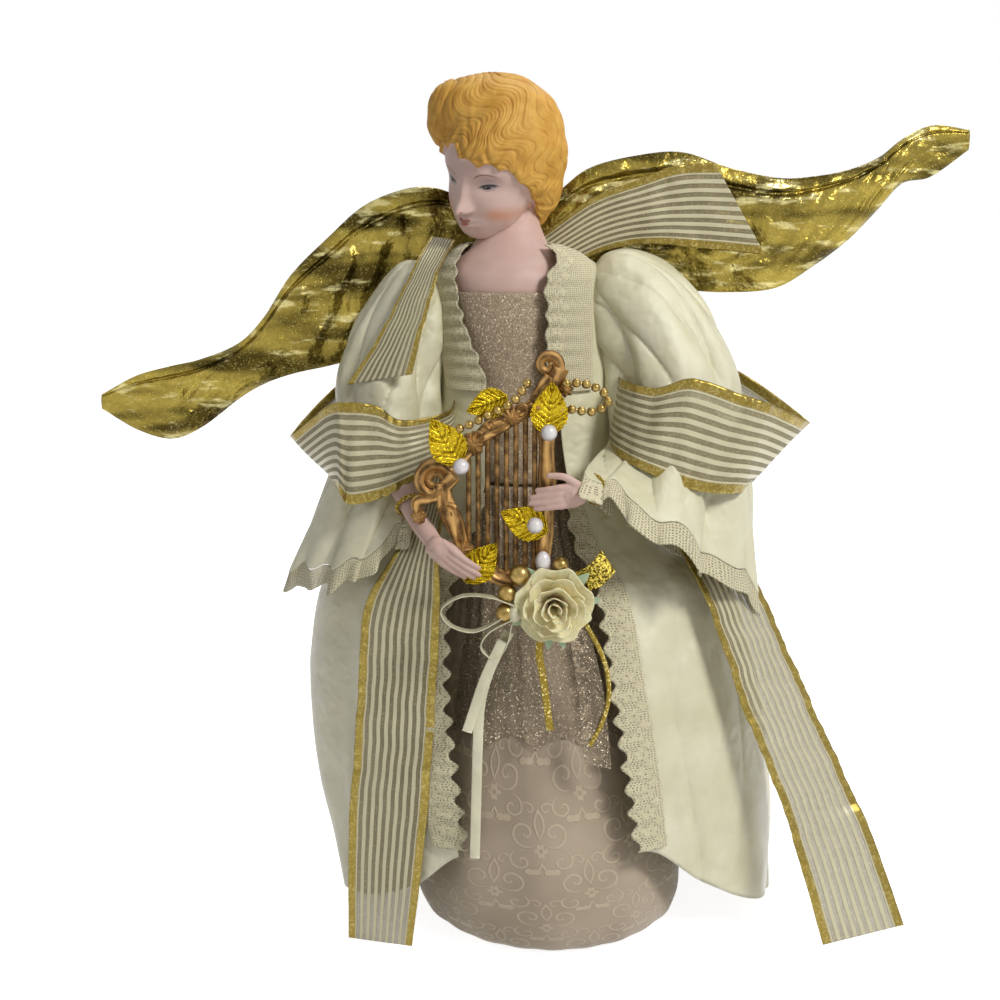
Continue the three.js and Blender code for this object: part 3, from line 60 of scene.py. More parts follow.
# The camera stands a little above the figure and looks slightly down on it.
camera = bpy.data.objects.new("camera", bpy.data.cameras.new("camera"))
camera.location = (-0.024, -0.6847, 0.3429)
camera.rotation_euler = (math.radians(78), 0, 0)
camera.data.lens = 55.08
camera.data.sensor_width = 36
bpy.context.scene.collection.objects.link(camera)
bpy.context.scene.camera = camera
bpy.context.scene.view_settings.view_transform = "Standard"

# Hanging ends of the spray: two narrow satin ribbons, a gold braid end and a thin gold cord.
# Each is knotted or glued behind the rose and hangs down over the skirt, with its cut end free.


def blend_rows(rows, place):
    """A smooth curve through rows of [place, value ...]: between two rows the values follow a cubic
    whose slopes at both ends are those between the neighbouring rows."""
    rows = np.asarray(rows, float)
    knots, values = rows[:, 0], rows[:, 1:]
    place = np.asarray(place, float)
    k = np.clip(np.searchsorted(knots, place) - 1, 0, len(knots) - 2)
    before, after = np.maximum(k - 1, 0), np.minimum(k + 2, len(knots) - 1)
    width = (knots[k + 1] - knots[k])[..., None]
    s = np.clip((place - knots[k]) / width[..., 0], 0, 1)[..., None]
    leaving = (values[k + 1] - values[before]) / (knots[k + 1] - knots[before])[..., None] * width
    arriving = (values[after] - values[k]) / (knots[after] - knots[k])[..., None] * width
    start, end = values[k], values[k + 1]
    cubic = 2 * (start - end) + leaving + arriving
    square = 3 * (end - start) - 2 * leaving - arriving
    return ((cubic * s + square) * s + leaving) * s + start


def unit(vectors):
    """Each vector divided by its length."""
    return vectors / (np.linalg.norm(vectors, axis=-1, keepdims=True) + 1e-12)


def rail(places, steps):
    """Evenly spaced points on a smooth curve through places, whose knots lie at their share of the way."""
    places = np.asarray(places, float)
    gaps = np.linalg.norm(np.diff(places, axis=0), axis=1)
    knots = np.concatenate([[0], np.cumsum(gaps)]) / gaps.sum()
    fine = blend_rows(np.column_stack([knots, places]), np.linspace(0, 1, 40 * steps + 1))
    run = np.concatenate([[0], np.cumsum(np.linalg.norm(np.diff(fine, axis=0), axis=1))])
    even = np.linspace(0, run[-1], steps + 1)
    return np.stack([np.interp(even, run, fine[:, axis]) for axis in range(3)], -1)


def length_of(places):
    """The length of a line through places."""
    return float(np.linalg.norm(np.diff(places, axis=0), axis=1).sum())


def grid_faces(columns, rows, ring=False):
    """Four-sided faces over a grid of points, and for each of their corners its shares across and along."""
    lines = columns if ring else columns + 1
    i, j = [part.reshape(-1, 1) for part in np.meshgrid(np.arange(columns), np.arange(rows), indexing="ij")]
    across, along = i + np.array([0, 1, 1, 0]), j + np.array([0, 0, 1, 1])
    return across % lines * (rows + 1) + along, np.stack([across / columns, along / rows], -1)


def put_mesh(name, points, faces, places=None, marks=None):
    """A smooth object at the origin from points in millimetres and lists of faces. places gives each
    face corner its place on the cloth in millimetres, and marks gives each point named values."""
    mesh = bpy.data.meshes.new(name)
    mesh.from_pydata(np.reshape(points, (-1, 3)) * MM, [], [row for part in faces for row in part.tolist()])
    if places is not None:
        layer = mesh.uv_layers.new(name="cloth")
        flat = np.concatenate([np.reshape(part, (-1, 2)) for part in places])
        layer.data.foreach_set("uv", flat.astype(np.float32).ravel())
    for key, values in (marks or {}).items():
        values = np.asarray(values, np.float32)
        kind = "FLOAT_VECTOR" if values.shape[-1] == 3 and values.ndim > 1 else "FLOAT"
        field = "vector" if kind == "FLOAT_VECTOR" else "value"
        mesh.attributes.new(key, kind, "POINT").data.foreach_set(field, values.ravel())
    mesh.polygons.foreach_set("use_smooth", np.ones(len(mesh.polygons), bool))
    mesh.update()
    made = bpy.data.objects.new(name, mesh)
    bpy.context.scene.collection.objects.link(made)
    return made


def bar_points(line, radii, sides, reference, flat=1.0):
    """Rings round a line of points: each ring is an oval of the given radius along the side direction
    and of radius times flat along the other one. reference is a direction that the line never takes."""
    along = unit(np.gradient(line, axis=0))
    side = unit(np.cross(along, np.broadcast_to(reference, line.shape)))
    other = np.cross(side, along)
    angle = np.arange(sides) * 2 * math.pi / sides
    radius = np.broadcast_to(radii, len(line))[None, :, None]
    round_side = np.cos(angle)[:, None, None] * side[None] * radius
    return line[None] + round_side + np.sin(angle)[:, None, None] * other[None] * radius * flat


def tube(name, points, size=None, turned=False, marks=None):
    """A closed piece from rings of points and a flat face at each end. Its map, if it has a size, runs
    round and along; turned says that the rings run the other way round."""
    sides, rows = points.shape[0], points.shape[1] - 1
    faces, shares = grid_faces(sides, rows, ring=True)
    ring = np.arange(sides) * (rows + 1)
    ends = [ring[None, ::-1], (ring + rows)[None]] if turned else [ring[None], (ring + rows)[None, ::-1]]
    places = None
    if size is not None:
        places = [shares * size, np.zeros((1, sides, 2)), np.broadcast_to([0, size[1]], (1, sides, 2))]
    return put_mesh(name, points, [faces, *ends], places, marks)


def bar(name, line, radii, sides, reference=(0, 1, 0), flat=1.0):
    """A bar along a line of points, closed by a flat end at each end."""
    size = np.array([2 * math.pi * float(np.max(radii)), length_of(line)])
    return tube(name, bar_points(line, radii, sides, reference, flat), size)


class Mask:
    """A value that changes over a surface: a shader node's output. The signs + - * / and abs between
    masks and numbers make the nodes that work the result out."""

    def __init__(self, socket):
        self.socket, self.tree = socket, socket.id_data

    def __add__(self, other):
        return calc("ADD", self, other)

    def __sub__(self, other):
        return calc("SUBTRACT", self, other)

    def __rsub__(self, other):
        return calc("SUBTRACT", other, self)

    def __mul__(self, other):
        return calc("MULTIPLY", self, other)

    def __truediv__(self, other):
        return calc("DIVIDE", self, other)

    def __abs__(self):
        return calc("ABSOLUTE", self)


def give(socket, value):
    """Links a mask to a node's input, or sets the input to a plain value."""
    if isinstance(value, Mask):
        value.tree.links.new(value.socket, socket)
    elif value is not None:
        socket.default_value = value


def node(kind, *inputs, tree=None, out=0, **settings):
    """The output of a new shader node, in the tree of its first mask unless a tree is given. Its inputs
    are filled in their order; settings with a capital are inputs by name, and others are the node's own."""
    if tree is None:
        tree = next(value.tree for value in (*inputs, *settings.values()) if isinstance(value, Mask))
    made = tree.nodes.new(kind)
    for key, value in settings.items():
        if key[0].islower():
            setattr(made, key, value)
    named = [(made.inputs[key], value) for key, value in settings.items() if key[0].isupper()]
    for socket, value in [*zip(made.inputs, inputs), *named]:
        give(socket, value)
    return Mask(made.outputs[out])


def calc(operation, *inputs):
    """One step of arithmetic in a shader."""
    return node("ShaderNodeMath", *inputs, operation=operation)


def noise(place, scale, detail=2.0, roughness=0.5):
    """Soft noise at a place, between 0 and 1."""
    return node("ShaderNodeTexNoise", place, Scale=scale, Detail=detail, Roughness=roughness)


def spread(value, low, high, to_low=0.0, to_high=1.0, smooth=False):
    """A value carried from one span to another, held at its ends, with soft ends if smooth."""
    kind = "SMOOTHSTEP" if smooth else "LINEAR"
    return node("ShaderNodeMapRange", value, low, high, to_low, to_high, interpolation_type=kind)


def rgb(code):
    """A colour written as six hex digits, as the shader's linear values."""
    parts = np.array([int(code[k:k + 2], 16) for k in (0, 2, 4)]) / 255
    parts = np.where(parts <= 0.04045, parts / 12.92, ((parts + 0.055) / 1.055) ** 2.4)
    return (*[float(part) for part in parts], 1.0)


def mix(share, first, second):
    """The first colour where share is 0 and the second where it is 1: masks, or six hex digits each."""
    first, second = [rgb(colour) if isinstance(colour, str) else colour for colour in (first, second)]
    return node("ShaderNodeMix", share, *[None] * 5, first, second, data_type="RGBA", out=2)


def new_finish(name, **settings):
    """A material, a function that sets inputs of its shader, and its object coordinates. The function
    also takes a relief: a height, the strength of its bumps and their depth in millimetres."""
    made = bpy.data.materials.new(name)
    made.use_nodes = True
    tree = made.node_tree

    def paint(relief=None, **values):
        if relief is not None:
            height, strength, depth = relief
            values["normal"] = node("ShaderNodeBump", Height=height, Strength=strength, Distance=depth * MM)
        for key, value in values.items():
            socket = key.replace("_", " ").title().replace("Ior", "IOR")
            give(tree.nodes["Principled BSDF"].inputs[socket], value)

    paint(**settings)
    return made, paint, node("ShaderNodeTexCoord", tree=tree, out="Object")


def cloth_place(place):
    """The place on the cloth, in millimetres across and along, from the piece's own map."""
    return node("ShaderNodeUVMap", tree=place.tree, uv_map="cloth")


def wear_finish(made, material, replaced=None, body="figure"):
    """Puts the material on an object, and the object on its body in place of a CAD node."""
    made.data.materials.append(material)
    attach(made, body)
    if replaced:
        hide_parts(replaced)
    return made


def new_group(name, inputs, output):
    """A shader node group: its tree, a mask for each of its inputs, and its output's socket."""
    group = bpy.data.node_groups.new(name, "ShaderNodeTree")
    for key in inputs:
        kind = "NodeSocketVector" if key == "Place" else "NodeSocketFloat"
        group.interface.new_socket(key, in_out="INPUT", socket_type=kind)
    group.interface.new_socket(output, in_out="OUTPUT", socket_type="NodeSocketFloat")
    given = group.nodes.new("NodeGroupInput").outputs
    return group, [Mask(given[key]) for key in inputs], group.nodes.new("NodeGroupOutput").inputs[output]


# The weave of satin, brocade and lace: fine noise at a place, of a given scale
weave, (spot_at, spot_scale), result = new_group("weave", ("Place", "Scale"), "Grain")
give(result, noise(spot_at, spot_scale, 2, 0.6))

# Flecks of metal thread: cells of the cloth whose random value lies above low, full at high
flecks, (spot_at, spot_scale, low, high), result = new_group(
    "flecks", ("Place", "Scale", "Low", "High"), "Mask")
cells = node("ShaderNodeTexVoronoi", spot_at, Scale=spot_scale, out="Color")
give(result, spread(node("ShaderNodeSeparateColor", cells), low, high))


def woven(place, scale):
    """The grain of a woven cloth, from the shared group."""
    return node("ShaderNodeGroup", place, scale, node_tree=weave, out="Grain")


def glitter(place, scale, low, high):
    """Bright flecks on a cloth, from the shared group."""
    return node("ShaderNodeGroup", place, scale, low, high, node_tree=flecks, out="Mask")


# Cream satin: a shiny warp over a fine weft, with soft wrinkles
satin, paint, place = new_finish("satin", roughness=0.21, sheen_weight=0.1, sheen_roughness=0.35,
                                 specular_ior_level=0.85)
paint(base_color=mix(spread(noise(place, 35, 3), 0.35, 0.7), "D4CEA8", "E4DFC0"),
      relief=(noise(place, 38, 3) + woven(place, 4200) * 0.03, 0.7, 8))

# Gold braid: metal thread laid in a close twill
gold_braid, paint, place = new_finish("gold_braid", roughness=0.42, metallic=0.75)
strand = node("ShaderNodeTexWave", cloth_place(place), wave_type="BANDS", bands_direction="DIAGONAL",
              Scale=0.55, Distortion=1.2, out="Fac")
glint = glitter(place, 1500, 0.8, 0.97)
paint(base_color=mix(glint, mix(strand, "6E5A14", "B99C34"), "FFF2A8"), relief=(strand + glint, 0.8, 0.4))

cord_routes = {
    "satin_tail_long": (4.4, 0.16, satin, "satin", [
        (-20, -70, 156), (-25, -68, 146), (-29.5, -67, 135), (-32.5, -66, 122), (-33.5, -66, 105),
        (-34, -66, 88), (-34.5, -66, 70), (-35, -66, 52)]),
    "satin_tail_short": (4.4, 0.16, satin, "satin", [
        (-23, -74, 153), (-27, -73, 144), (-31, -72, 134), (-34.5, -71, 123), (-38, -71, 112)]),
    "gold_tail": (3.2, 0.4, gold_braid, "gold_braid", [
        (-5.5, -67, 161), (-7.5, -67, 146), (-6, -66, 136), (-4.3, -66, 124), (-2.6, -66, 111)]),
    "gold_cord": (2.0, 1.0, gold_braid, "gold_braid", [
        (10, -68, 162), (18, -67, 147), (21.5, -66, 136), (22, -66, 124), (19, -66, 113), (14.5, -66, 104)]),
}
for name, (width, flat, finish, slot, route) in cord_routes.items():
    line = rail(route, 48)
    cord = wear_finish(bar(name, line, width / 2, 16, (0, 1, 0), flat), finish, name)
    line[0] * MM
    width * MM
    line * MM

# The studio: soft lamps, a pale world, and a plain pale floor that glows a little for the camera.


def lamp(name, place, size, watts, aim=(-0.02, 0, 0.2)):
    """A square soft lamp that faces the figure."""
    light = bpy.data.objects.new(name, bpy.data.lights.new(name, "AREA"))
    light.data.size, light.data.energy = size, watts
    light.location = place
    away = np.array(place) - np.array(aim)
    light.rotation_euler = (math.acos(away[2] / np.linalg.norm(away)), 0, math.atan2(away[0], -away[1]))
    bpy.context.scene.collection.objects.link(light)


def most(*masks):
    """The strongest of several masks."""
    best = masks[0]
    for mask in masks[1:]:
        best = calc("MAXIMUM", best, mask)
    return best


def seen_by(tree, *kinds):
    """1 to rays of the given kinds and 0 to others."""
    return most(*[node("ShaderNodeLightPath", tree=tree, out=f"Is {kind} Ray") for kind in kinds])


lamp("key_lamp", (0.85, -0.85, 1.2), 0.35, 17)
lamp("fill_lamp", (-1.1, -0.8, 0.7), 0.8, 1.2)
lamp("top_lamp", (0.3, 0.6, 1.4), 0.5, 6)
world = bpy.data.worlds.new("studio")
world.use_nodes = True
bpy.context.scene.world = world
backdrop = world.node_tree.nodes["Background"]
backdrop.inputs["Color"].default_value = (1, 1, 1, 1)
shown = seen_by(world.node_tree, "Camera", "Transmission", "Glossy")
give(backdrop.inputs["Strength"], spread(shown, 0, 1, 0.15, 1))
floor = put_mesh("floor", [(-6000, -6000, 0), (6000, -6000, 0), (6000, 12000, 0), (-6000, 12000, 0)],
                 [np.array([[0, 1, 2, 3]])])
floor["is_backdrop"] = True
floor_paper, paint, place = new_finish("floor_paper", roughness=0.9, base_color=(0.86, 0.86, 0.86, 1),
                                       emission_color=(1, 1, 1, 1))
paint(emission_strength=spread(seen_by(place.tree, "Camera", "Glossy"), 0, 1, 0, 0.88))
floor.data.materials.append(floor_paper)

# Base cone: a tall hollow cup of grey-brown cardboard, rolled and glued. It slips over the tree's tip and
# carries the doll, and the skirt is turned in under its rim.
cone_board, paint, place = new_finish("cone_board", roughness=0.92)
fibre = noise(place, 900, 4, 0.7)
paint(base_color=mix(spread(fibre * 0.6 + noise(place, 45) * 0.4, 0.35, 0.65), "A4906C", "C4B38F"),
      relief=(fibre, 0.4, 0.3))


def finish_node(name, material):
    """Gives a carried-over node its material."""
    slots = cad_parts[name].material_slots
    for slot in slots:
        slot.link = "OBJECT"
        slot.material = material
    if not slots:
        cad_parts[name].data.materials.append(material)


finish_node("base_cone", cone_board)

# Stuffed body and upper arms: plain muslin bags filled with wadding, sewn shut and wired. The body stands
# on the cone and carries the porcelain, and the clothes hide them all.
muslin, paint, place = new_finish("muslin", roughness=0.95)
threads = noise(place, 2600, 1)
paint(base_color=mix(spread(threads, 0.3, 0.7), "C8BC9E", "E2D9C2"),
      relief=(threads + noise(place, 120), 0.5, 0.8))
lean = -0.07  # how far the figure's axis moves sideways for each millimetre of height
body_foot, body_top = 165.5, 277
body_rows = [(0, 12.6, 12.6), (0.12, 16, 14.5), (0.37, 21.5, 16.5), (0.65, 22, 16.8), (1, 23.4, 16.8)]


def upright(shift, back, height, half_width, half_depth, angle):
    """Points of an upright oval round the leaning axis, with the front at angle 0 and the viewer's right at
    a quarter turn."""
    side = lean * height + shift + half_width * np.sin(angle)
    return np.stack(np.broadcast_arrays(side, back - half_depth * np.cos(angle), height + 0 * angle), -1)


def grid(columns, rows, low=0.0, high=1.0, ring=True):
    """Shares u, round or across, and v, from low to high, at each point of a grid."""
    u = np.arange(columns if ring else columns + 1) / columns
    return np.meshgrid(u, np.linspace(low, high, rows + 1), indexing="ij")


def shell(name, point, columns, rows):
    """A closed body from point(u, v), round in u and running from its lower to its upper pole in v."""
    return tube(name, point(*grid(columns, rows)), (100, 100), turned=True)


def body_point(u, v):
    """A stuffed column that leans with the doll, with a slow lumpy swell."""
    wide, deep = np.moveaxis(blend_rows(body_rows, v), -1, 0)
    lump = 0.25 * np.sin(6 * u * math.pi + 9 * v) - 0.25
    return upright(0, 0, body_foot + (body_top - body_foot) * v, wide + lump, deep + lump, 2 * math.pi * u)


body = wear_finish(shell("stuffed_body", body_point, 64, 60), muslin, "torso_core")
for side, route in (("left", [(-40, 2, 297), (-62, 0, 279), (-72, -8, 252), (-76, -20, 230)]),
                    ("right", [(2, 2, 298), (34, 0, 281), (52, -8, 256), (54, -22, 232)])):
    line = rail(route, 24)
    share = np.linspace(0, 1, 25)
    girth = 7.4 - 0.35 * np.sin(9 * math.pi * share) ** 2
    arm = bar(f"stuffed_arm_{side}", line, girth, 24, (0, 1, 0.2))
    wear_finish(arm, muslin, f"upper_arm_{side}")

# Head and shoulder plate: one hollow casting of pink bisque, painted by hand before its last firing.
# The hair is moulded with it in waves and curls, and the plate is glued over the body.
head_turn, head_nod, head_tilt = math.radians(-41), math.radians(14), math.radians(10)
head_place = np.array([-23.4, 3, 350.7])
head_half = 30.0
head_middle = np.array([0, 0.067, -0.133])
face_lobes = [
    ((0, 0.02, 0.067), (0.8, 0.88, 0.9)), ((0, -0.27, -0.5), (0.54, 0.57, 0.57)),
    ((0, -0.53, -0.82), (0.3, 0.31, 0.25)), ((0.26, -0.38, -0.52), (0.28, 0.34, 0.34)),
    ((-0.26, -0.38, -0.52), (0.28, 0.34, 0.34)),
]
hair_lobes = [
    ((0, 0.08, 0.12), (0.87, 0.92, 1.03)), ((0, 0.28, -0.35), (0.74, 0.6, 0.82)),
    ((-0.62, -0.38, 0.54), (0.3, 0.36, 0.43)), ((-0.36, -0.2, 0.7), (0.5, 0.5, 0.42)),
]
# Swellings and hollows of the face: sideways place, height, spreads and how far each stands out. One that
# lies off the middle is on both sides
features = [
    (0, -0.5, 0.09, 0.09, 0.17), (0, -0.33, 0.075, 0.2, 0.085), (0.1, -0.54, 0.055, 0.05, 0.06),
    (0, -0.715, 0.15, 0.032, 0.045), (0, -0.785, 0.12, 0.036, 0.05), (0, -0.75, 0.15, 0.012, -0.02),
    (0, -0.64, 0.03, 0.05, -0.02), (0, -0.87, 0.14, 0.03, -0.025), (0.33, -0.2, 0.17, 0.12, -0.085),
    (0.34, -0.2, 0.11, 0.065, 0.05), (0.3, -0.02, 0.18, 0.06, 0.025),
]
# Degrees round the head, then the elevation at which the hair begins
hairline = [
    (-180, -70), (-140, -70), (-115, -60), (-90, -42), (-75, -15), (-62, 8), (-50, 14), (-38, 16), (-24, 24),
    (-10, 25), (0, 18), (18, 14), (36, 12), (55, -2), (72, -24), (90, -46), (115, -66), (140, -72), (180, -70),
]


def lobe_reach(direction, lobes):
    """How far the lobes reach along each direction from the head's middle, softly joined: the larger root
    of each ellipsoid's equation, then the twelfth root of the sum of their twelfth powers."""
    total = 0
    for centre, half in lobes:
        offset = np.array(centre) - head_middle
        a = (direction ** 2 / np.square(half)).sum(-1)
        b = (direction * offset / np.square(half)).sum(-1)
        c = (offset ** 2 / np.square(half)).sum() - 1
        inside = b * b - a * c
        total = total + np.where(inside > 0, np.maximum((b + np.sqrt(np.maximum(inside, 0))) / a, 0), 0) ** 12
    return total ** (1 / 12)


def smooth_step(value, low, high):
    """0 below low, 1 above high, and an S-curve between them."""
    share = np.clip((value - low) / (high - low), 0, 1)
    return share * share * (3 - 2 * share)


def hair_waves(direction, elevation, line):
    """The carved hair. Strands leave a parting: their bearing there is bent by waves that grow and shorten
    towards the hairline, where the locks curl. Depth is a sum of broad locks, fine strands and cross waves."""
    parting = unit(np.array([-0.46, 0.045, 0.885]))
    east = unit(np.array([-parting[1], parting[0], 0]))
    north = np.cross(parting, east)
    x, z = direction @ east, direction @ north
    distance, bearing = np.arccos(np.clip(direction @ parting, -1, 1)), np.arctan2(z, x)
    ends = np.exp(-np.maximum(elevation - line, 0) / 26)
    bend = (0.16 + 0.16 * ends) * np.sin(9.5 * distance + 2 * bearing)
    bend = bend + 0.16 * ends * np.sin(15 * distance - 5 * bearing + 1)
    locks = np.sin(21 * (bearing + bend) + 1.2 * np.sin(3 * distance))
    strands = np.sin(84 * (bearing + 0.9 * bend) + 2 * np.sin(4 * distance))
    cross = np.sin(9 * distance + 3 * bend + 2.2 * np.sin(2 * bearing))
    near = smooth_step(distance, 0.06, 0.3)
    valley = (0.5 - 0.5 * locks) ** 3
    depth = near * (0.016 * np.sqrt(1.001 - valley) + 0.005 * strands + 0.014 * cross)
    curled = np.sin(24 * direction[..., 2] + 3 * np.sin(17 * direction[..., 0]) + 2 * bearing)
    depth = depth + 0.016 * ends * curled
    # Painted shade and brush strokes: this mask darkens the hair's paint in the valleys between locks, along
    # the fine strands and at the curled ends
    strokes_and_groove_shade = valley * 0.55 + 0.4 * (0.5 - 0.5 * strands) ** 2
    strokes_and_groove_shade = np.clip(strokes_and_groove_shade + 0.3 * ends * (0.5 - 0.5 * curled) ** 2, 0, 1)
    main, roll = lobe_reach(direction, hair_lobes[:1]), lobe_reach(direction, hair_lobes[2:3])
    # The notch where the curled roll lies behind the main mass is carved in and painted dark as painted shade
    notch = np.exp(-((main - roll) / 0.035) ** 2) * (roll > 0.5)
    return depth - 0.02 * notch, np.maximum(strokes_and_groove_shade * near, 0.8 * notch)


def turned(points):
    """Points of the upright head, bowed, tilted and turned as it sits on the neck."""
    cz, sz = math.cos(head_turn), math.sin(head_turn)
    cx, sx = math.cos(head_nod), math.sin(head_nod)
    cy, sy = math.cos(head_tilt), math.sin(head_tilt)
    about_z = np.array([[cz, -sz, 0], [sz, cz, 0], [0, 0, 1]])
    about_x = np.array([[1, 0, 0], [0, cx, -sx], [0, sx, cx]])
    about_y = np.array([[cy, 0, sy], [0, 1, 0], [-sy, 0, cy]])
    return points @ (about_z @ about_x @ about_y).T


head_columns, head_rows = 400, 240
u, v = grid(head_columns, head_rows, 0.004, 0.996)
polar = math.pi * (1 - v)
# Columns crowd towards the face, where the modelling is finest
around = 2 * math.pi * (u - 0.5)
around = around - 0.55 * np.sin(around)
direction = np.stack([np.sin(polar) * np.sin(around), -np.sin(polar) * np.cos(around), np.cos(polar)], -1)
around, elevation = np.degrees(around), np.degrees(np.arcsin(direction[..., 2]))
share = lobe_reach(direction, face_lobes)
# The lobes are rubbed smooth where they meet: each pass takes the mean of a point and its neighbours
for _ in range(150):
    share = (np.roll(share, 1, 0) + 2 * share + np.roll(share, -1, 0)) / 4
    share[:, 1:-1] = (share[:, :-2] + 2 * share[:, 1:-1] + share[:, 2:]) / 4
sideways = share * direction[..., 0] + head_middle[0]
height = share * direction[..., 2] + head_middle[2]
swell = 0
for at_side, level, wide, tall, out in features:
    for across in (at_side, -at_side) if at_side else (0,):
        swell = swell + out * np.exp(-((sideways - across) / wide) ** 2 - ((height - level) / tall) ** 2)
share = share + swell * (direction[..., 1] < 0)
line = blend_rows(hairline, around)[..., 0] + 4.5 * np.abs(np.sin(np.radians(around) * 9.5 + 0.5)) - 2
depth, strokes_and_groove_shade = hair_waves(direction, elevation, line)
cover = smooth_step(elevation, line - 1.6, line + 2.2)
hair = np.maximum(lobe_reach(direction, hair_lobes), share + 0.045) + depth
share = share + (hair - share) * cover
local = direction * share[..., None] * head_half + head_middle * head_half
head_points = turned(local) + head_place
head_marks = {"face": local.reshape(-1, 3), "hair": cover.ravel(), "strokes_and_groove_shade": strokes_and_groove_shade.ravel()}
head = tube("head", head_points, turned=True, marks=head_marks)

bisque_look = dict(roughness=0.5, specular_ior_level=0.35, subsurface_weight=0.12, subsurface_scale=0.003)
bisque, paint, place = new_finish("painted_bisque", **bisque_look)
face = node("ShaderNodeAttribute", tree=place.tree, attribute_name="face", out="Vector")
hair_mark, strokes_and_groove_shade_mark = [node("ShaderNodeAttribute", tree=place.tree, attribute_name=mark, out="Fac")
                          for mark in ("hair", "strokes_and_groove_shade")]


def split(place):
    """The three parts of a place."""
    return [Mask(part) for part in node("ShaderNodeSeparateXYZ", place).socket.node.outputs]


def on_oval(middle, half, turn):
    """The face's place as shares of an oval's half sizes, and its distance from the oval's middle. The
    face is read from the front, sideways and up, in millimetres."""
    mapped = node("ShaderNodeMapping", face, vector_type="TEXTURE", Location=(middle[0], 0, middle[1]),
                  Rotation=(0, -math.radians(turn), 0), Scale=(half[0], 1e6, half[1]))
    return mapped, node("ShaderNodeVectorMath", mapped, operation="LENGTH", out="Value")


def spot(middle, half, turn, soft):
    """A painted oval on the face: 1 inside, 0 outside, and fading from the share soft to its edge."""
    return spread(on_oval(middle, half, turn)[1], soft, 1, 1, 0, smooth=True)


def stroke(middle, half, turn, width, low, high):
    """A painted stroke along an oval's edge, between two angles in degrees, with tapered ends."""
    mapped, reach = on_oval(middle, half, turn)
    parts = split(mapped)
    middle_angle, half_angle = math.radians(low + high) / 2, math.radians(high - low) / 2
    off = abs(calc("ARCTAN2", parts[2], parts[0]) - middle_angle)
    taper = spread(off, half_angle * 0.35, half_angle, 1, 0, smooth=True)
    return spread(abs(reach - 1), width * 0.35, width, 1, 0, smooth=True) * taper


# Each mark on the face: strength, colour, sideways place, shift to the left, height, half sizes and turn,
# then an oval's soft share, or a stroke's width and the two angles between which it runs
eye_and_cheek = {
    "blush": (0.72, "D08A62", 13.5, 0, -18.8, 7, 5.4, -15, 0),
    # Painted shade: a soft grey-mauve patch over each upper lid, where the brow shades the eye
    "lid_shade": (0.45, "8D7A86", 10, 0, -4.2, 5.8, 3, 8, 0),
    # The eye's white is painted grey: the white itself, darkened with painted shade under the lid
    "shaded_white": (1, "9C8F94", 10.2, 0, -6.6, 3.1, 1.0, 8, 0.8),
    "iris": (1, "3A3646", 10.2, 0.5, -6.8, 1.7, 1.5, 0, 0.8),
    "pupil": (1, "17141C", 10.2, 0.5, -6.8, 1.1, 1.0, 0, 0.75),
    "glint": (1, "F2EEF0", 10.2, 0.9, -6.5, 0.26, 0.26, 0, 0.6),
    "lash": (1, "2E2426", 10.3, 0, -7.6, 3.8, 1.9, 8, 0.42, 4, 172),
    "lower lash": (0.55, "7C5D5C", 10.3, 0, -6.2, 3.4, 1.9, 8, 0.13, -160, -20),
    "brow": (0.8, "7A5648", 10.2, 0, -7.0, 6.8, 6.4, 4, 0.075, 35, 150),
    "nostril": (0.7, "96564C", 1.7, 0, -17.1, 0.9, 0.5, 20, 0.3),
    "upper lip": (0.85, "984A38", 1.5, 0, -21.7, 2.3, 0.85, 12, 0.5),
}
mouth = {
    "lower lip": (0.85, "B0604C", 0, 0, -23.4, 2.9, 1.15, 0, 0.5),
    "parting": (0.8, "6E2E2A", 0, 0, -19.6, 4.2, 3, 0, 0.07, -145, -35),
}
colour = mix(noise(place, 160), "D0AFA4", "DCC0B5")
for side, marks in ((-1, eye_and_cheek), (1, eye_and_cheek), (1, mouth)):
    for mark, (strength, code, across, shift, level, wide, tall, turn, *shape) in marks.items():
        paint_mark = stroke if len(shape) == 3 else spot
        cover = paint_mark((side * across - shift, level), (wide, tall), side * turn, *shape)
        if mark == "shaded_white":
            shaded_white = cover
        colour = mix(cover * (shaded_white if mark in ("iris", "pupil") else strength), colour, code)
hair_paint = mix(spread(noise(place, 130, 3), 0.35, 0.65), "C4903A", "DAAA50")
# Painted shade and brush strokes: the hair's paint turns brown in the grooves, along the strands and in the
# notch behind the roll
strokes_and_shade = spread(strokes_and_groove_shade_mark, 0.45, 1, 0, 0.55, smooth=True) * spread(noise(place, 420), 0.3, 0.6, 0.35, 1)
hair_paint = mix(strokes_and_shade, hair_paint, "94591F")
paint(base_color=mix(spread(hair_mark, 0.42, 0.6), colour, hair_paint),
      roughness=spread(hair_mark, 0.4, 0.6, 0.48, 0.6), relief=(noise(place, 900), 0.12, 0.3))
wear_finish(head, bisque, "head_bust")

# Shoulder plate and neck: plain pink bisque, of the same hollow casting as the head. The plate spreads
# over the shoulders, and its edge is glued to the stuffed body.
plate_rows = [
    (0.705, 24.3, 15.6, 0, 0), (0.73, 26.5, 18, 0, 0), (0.758, 27, 18.8, 0, 0), (0.779, 25.9, 18, 0, 0),
    (0.795, 22.4, 15.2, 0.8, 0.8), (0.808, 17.8, 12.4, 2.2, 2.3), (0.821, 14.9, 10.9, 3.1, 4.1),
    (0.836, 12.7, 10.2, 3.5, 6), (0.868, 11.9, 10, 3.2, 6.4),
]
# The plate, neck and hands take the same bisque painted a little darker than the head's, as painted shade
plain_shaded_bisque, paint, place = new_finish("plain_shaded_bisque", **bisque_look)
paint(base_color=mix(noise(place, 160), "C8A598", "D4B6AA"), relief=(noise(place, 900), 0.12, 0.3))
plate_foot, plate_top, figure_height = 0.705, 0.868, 385


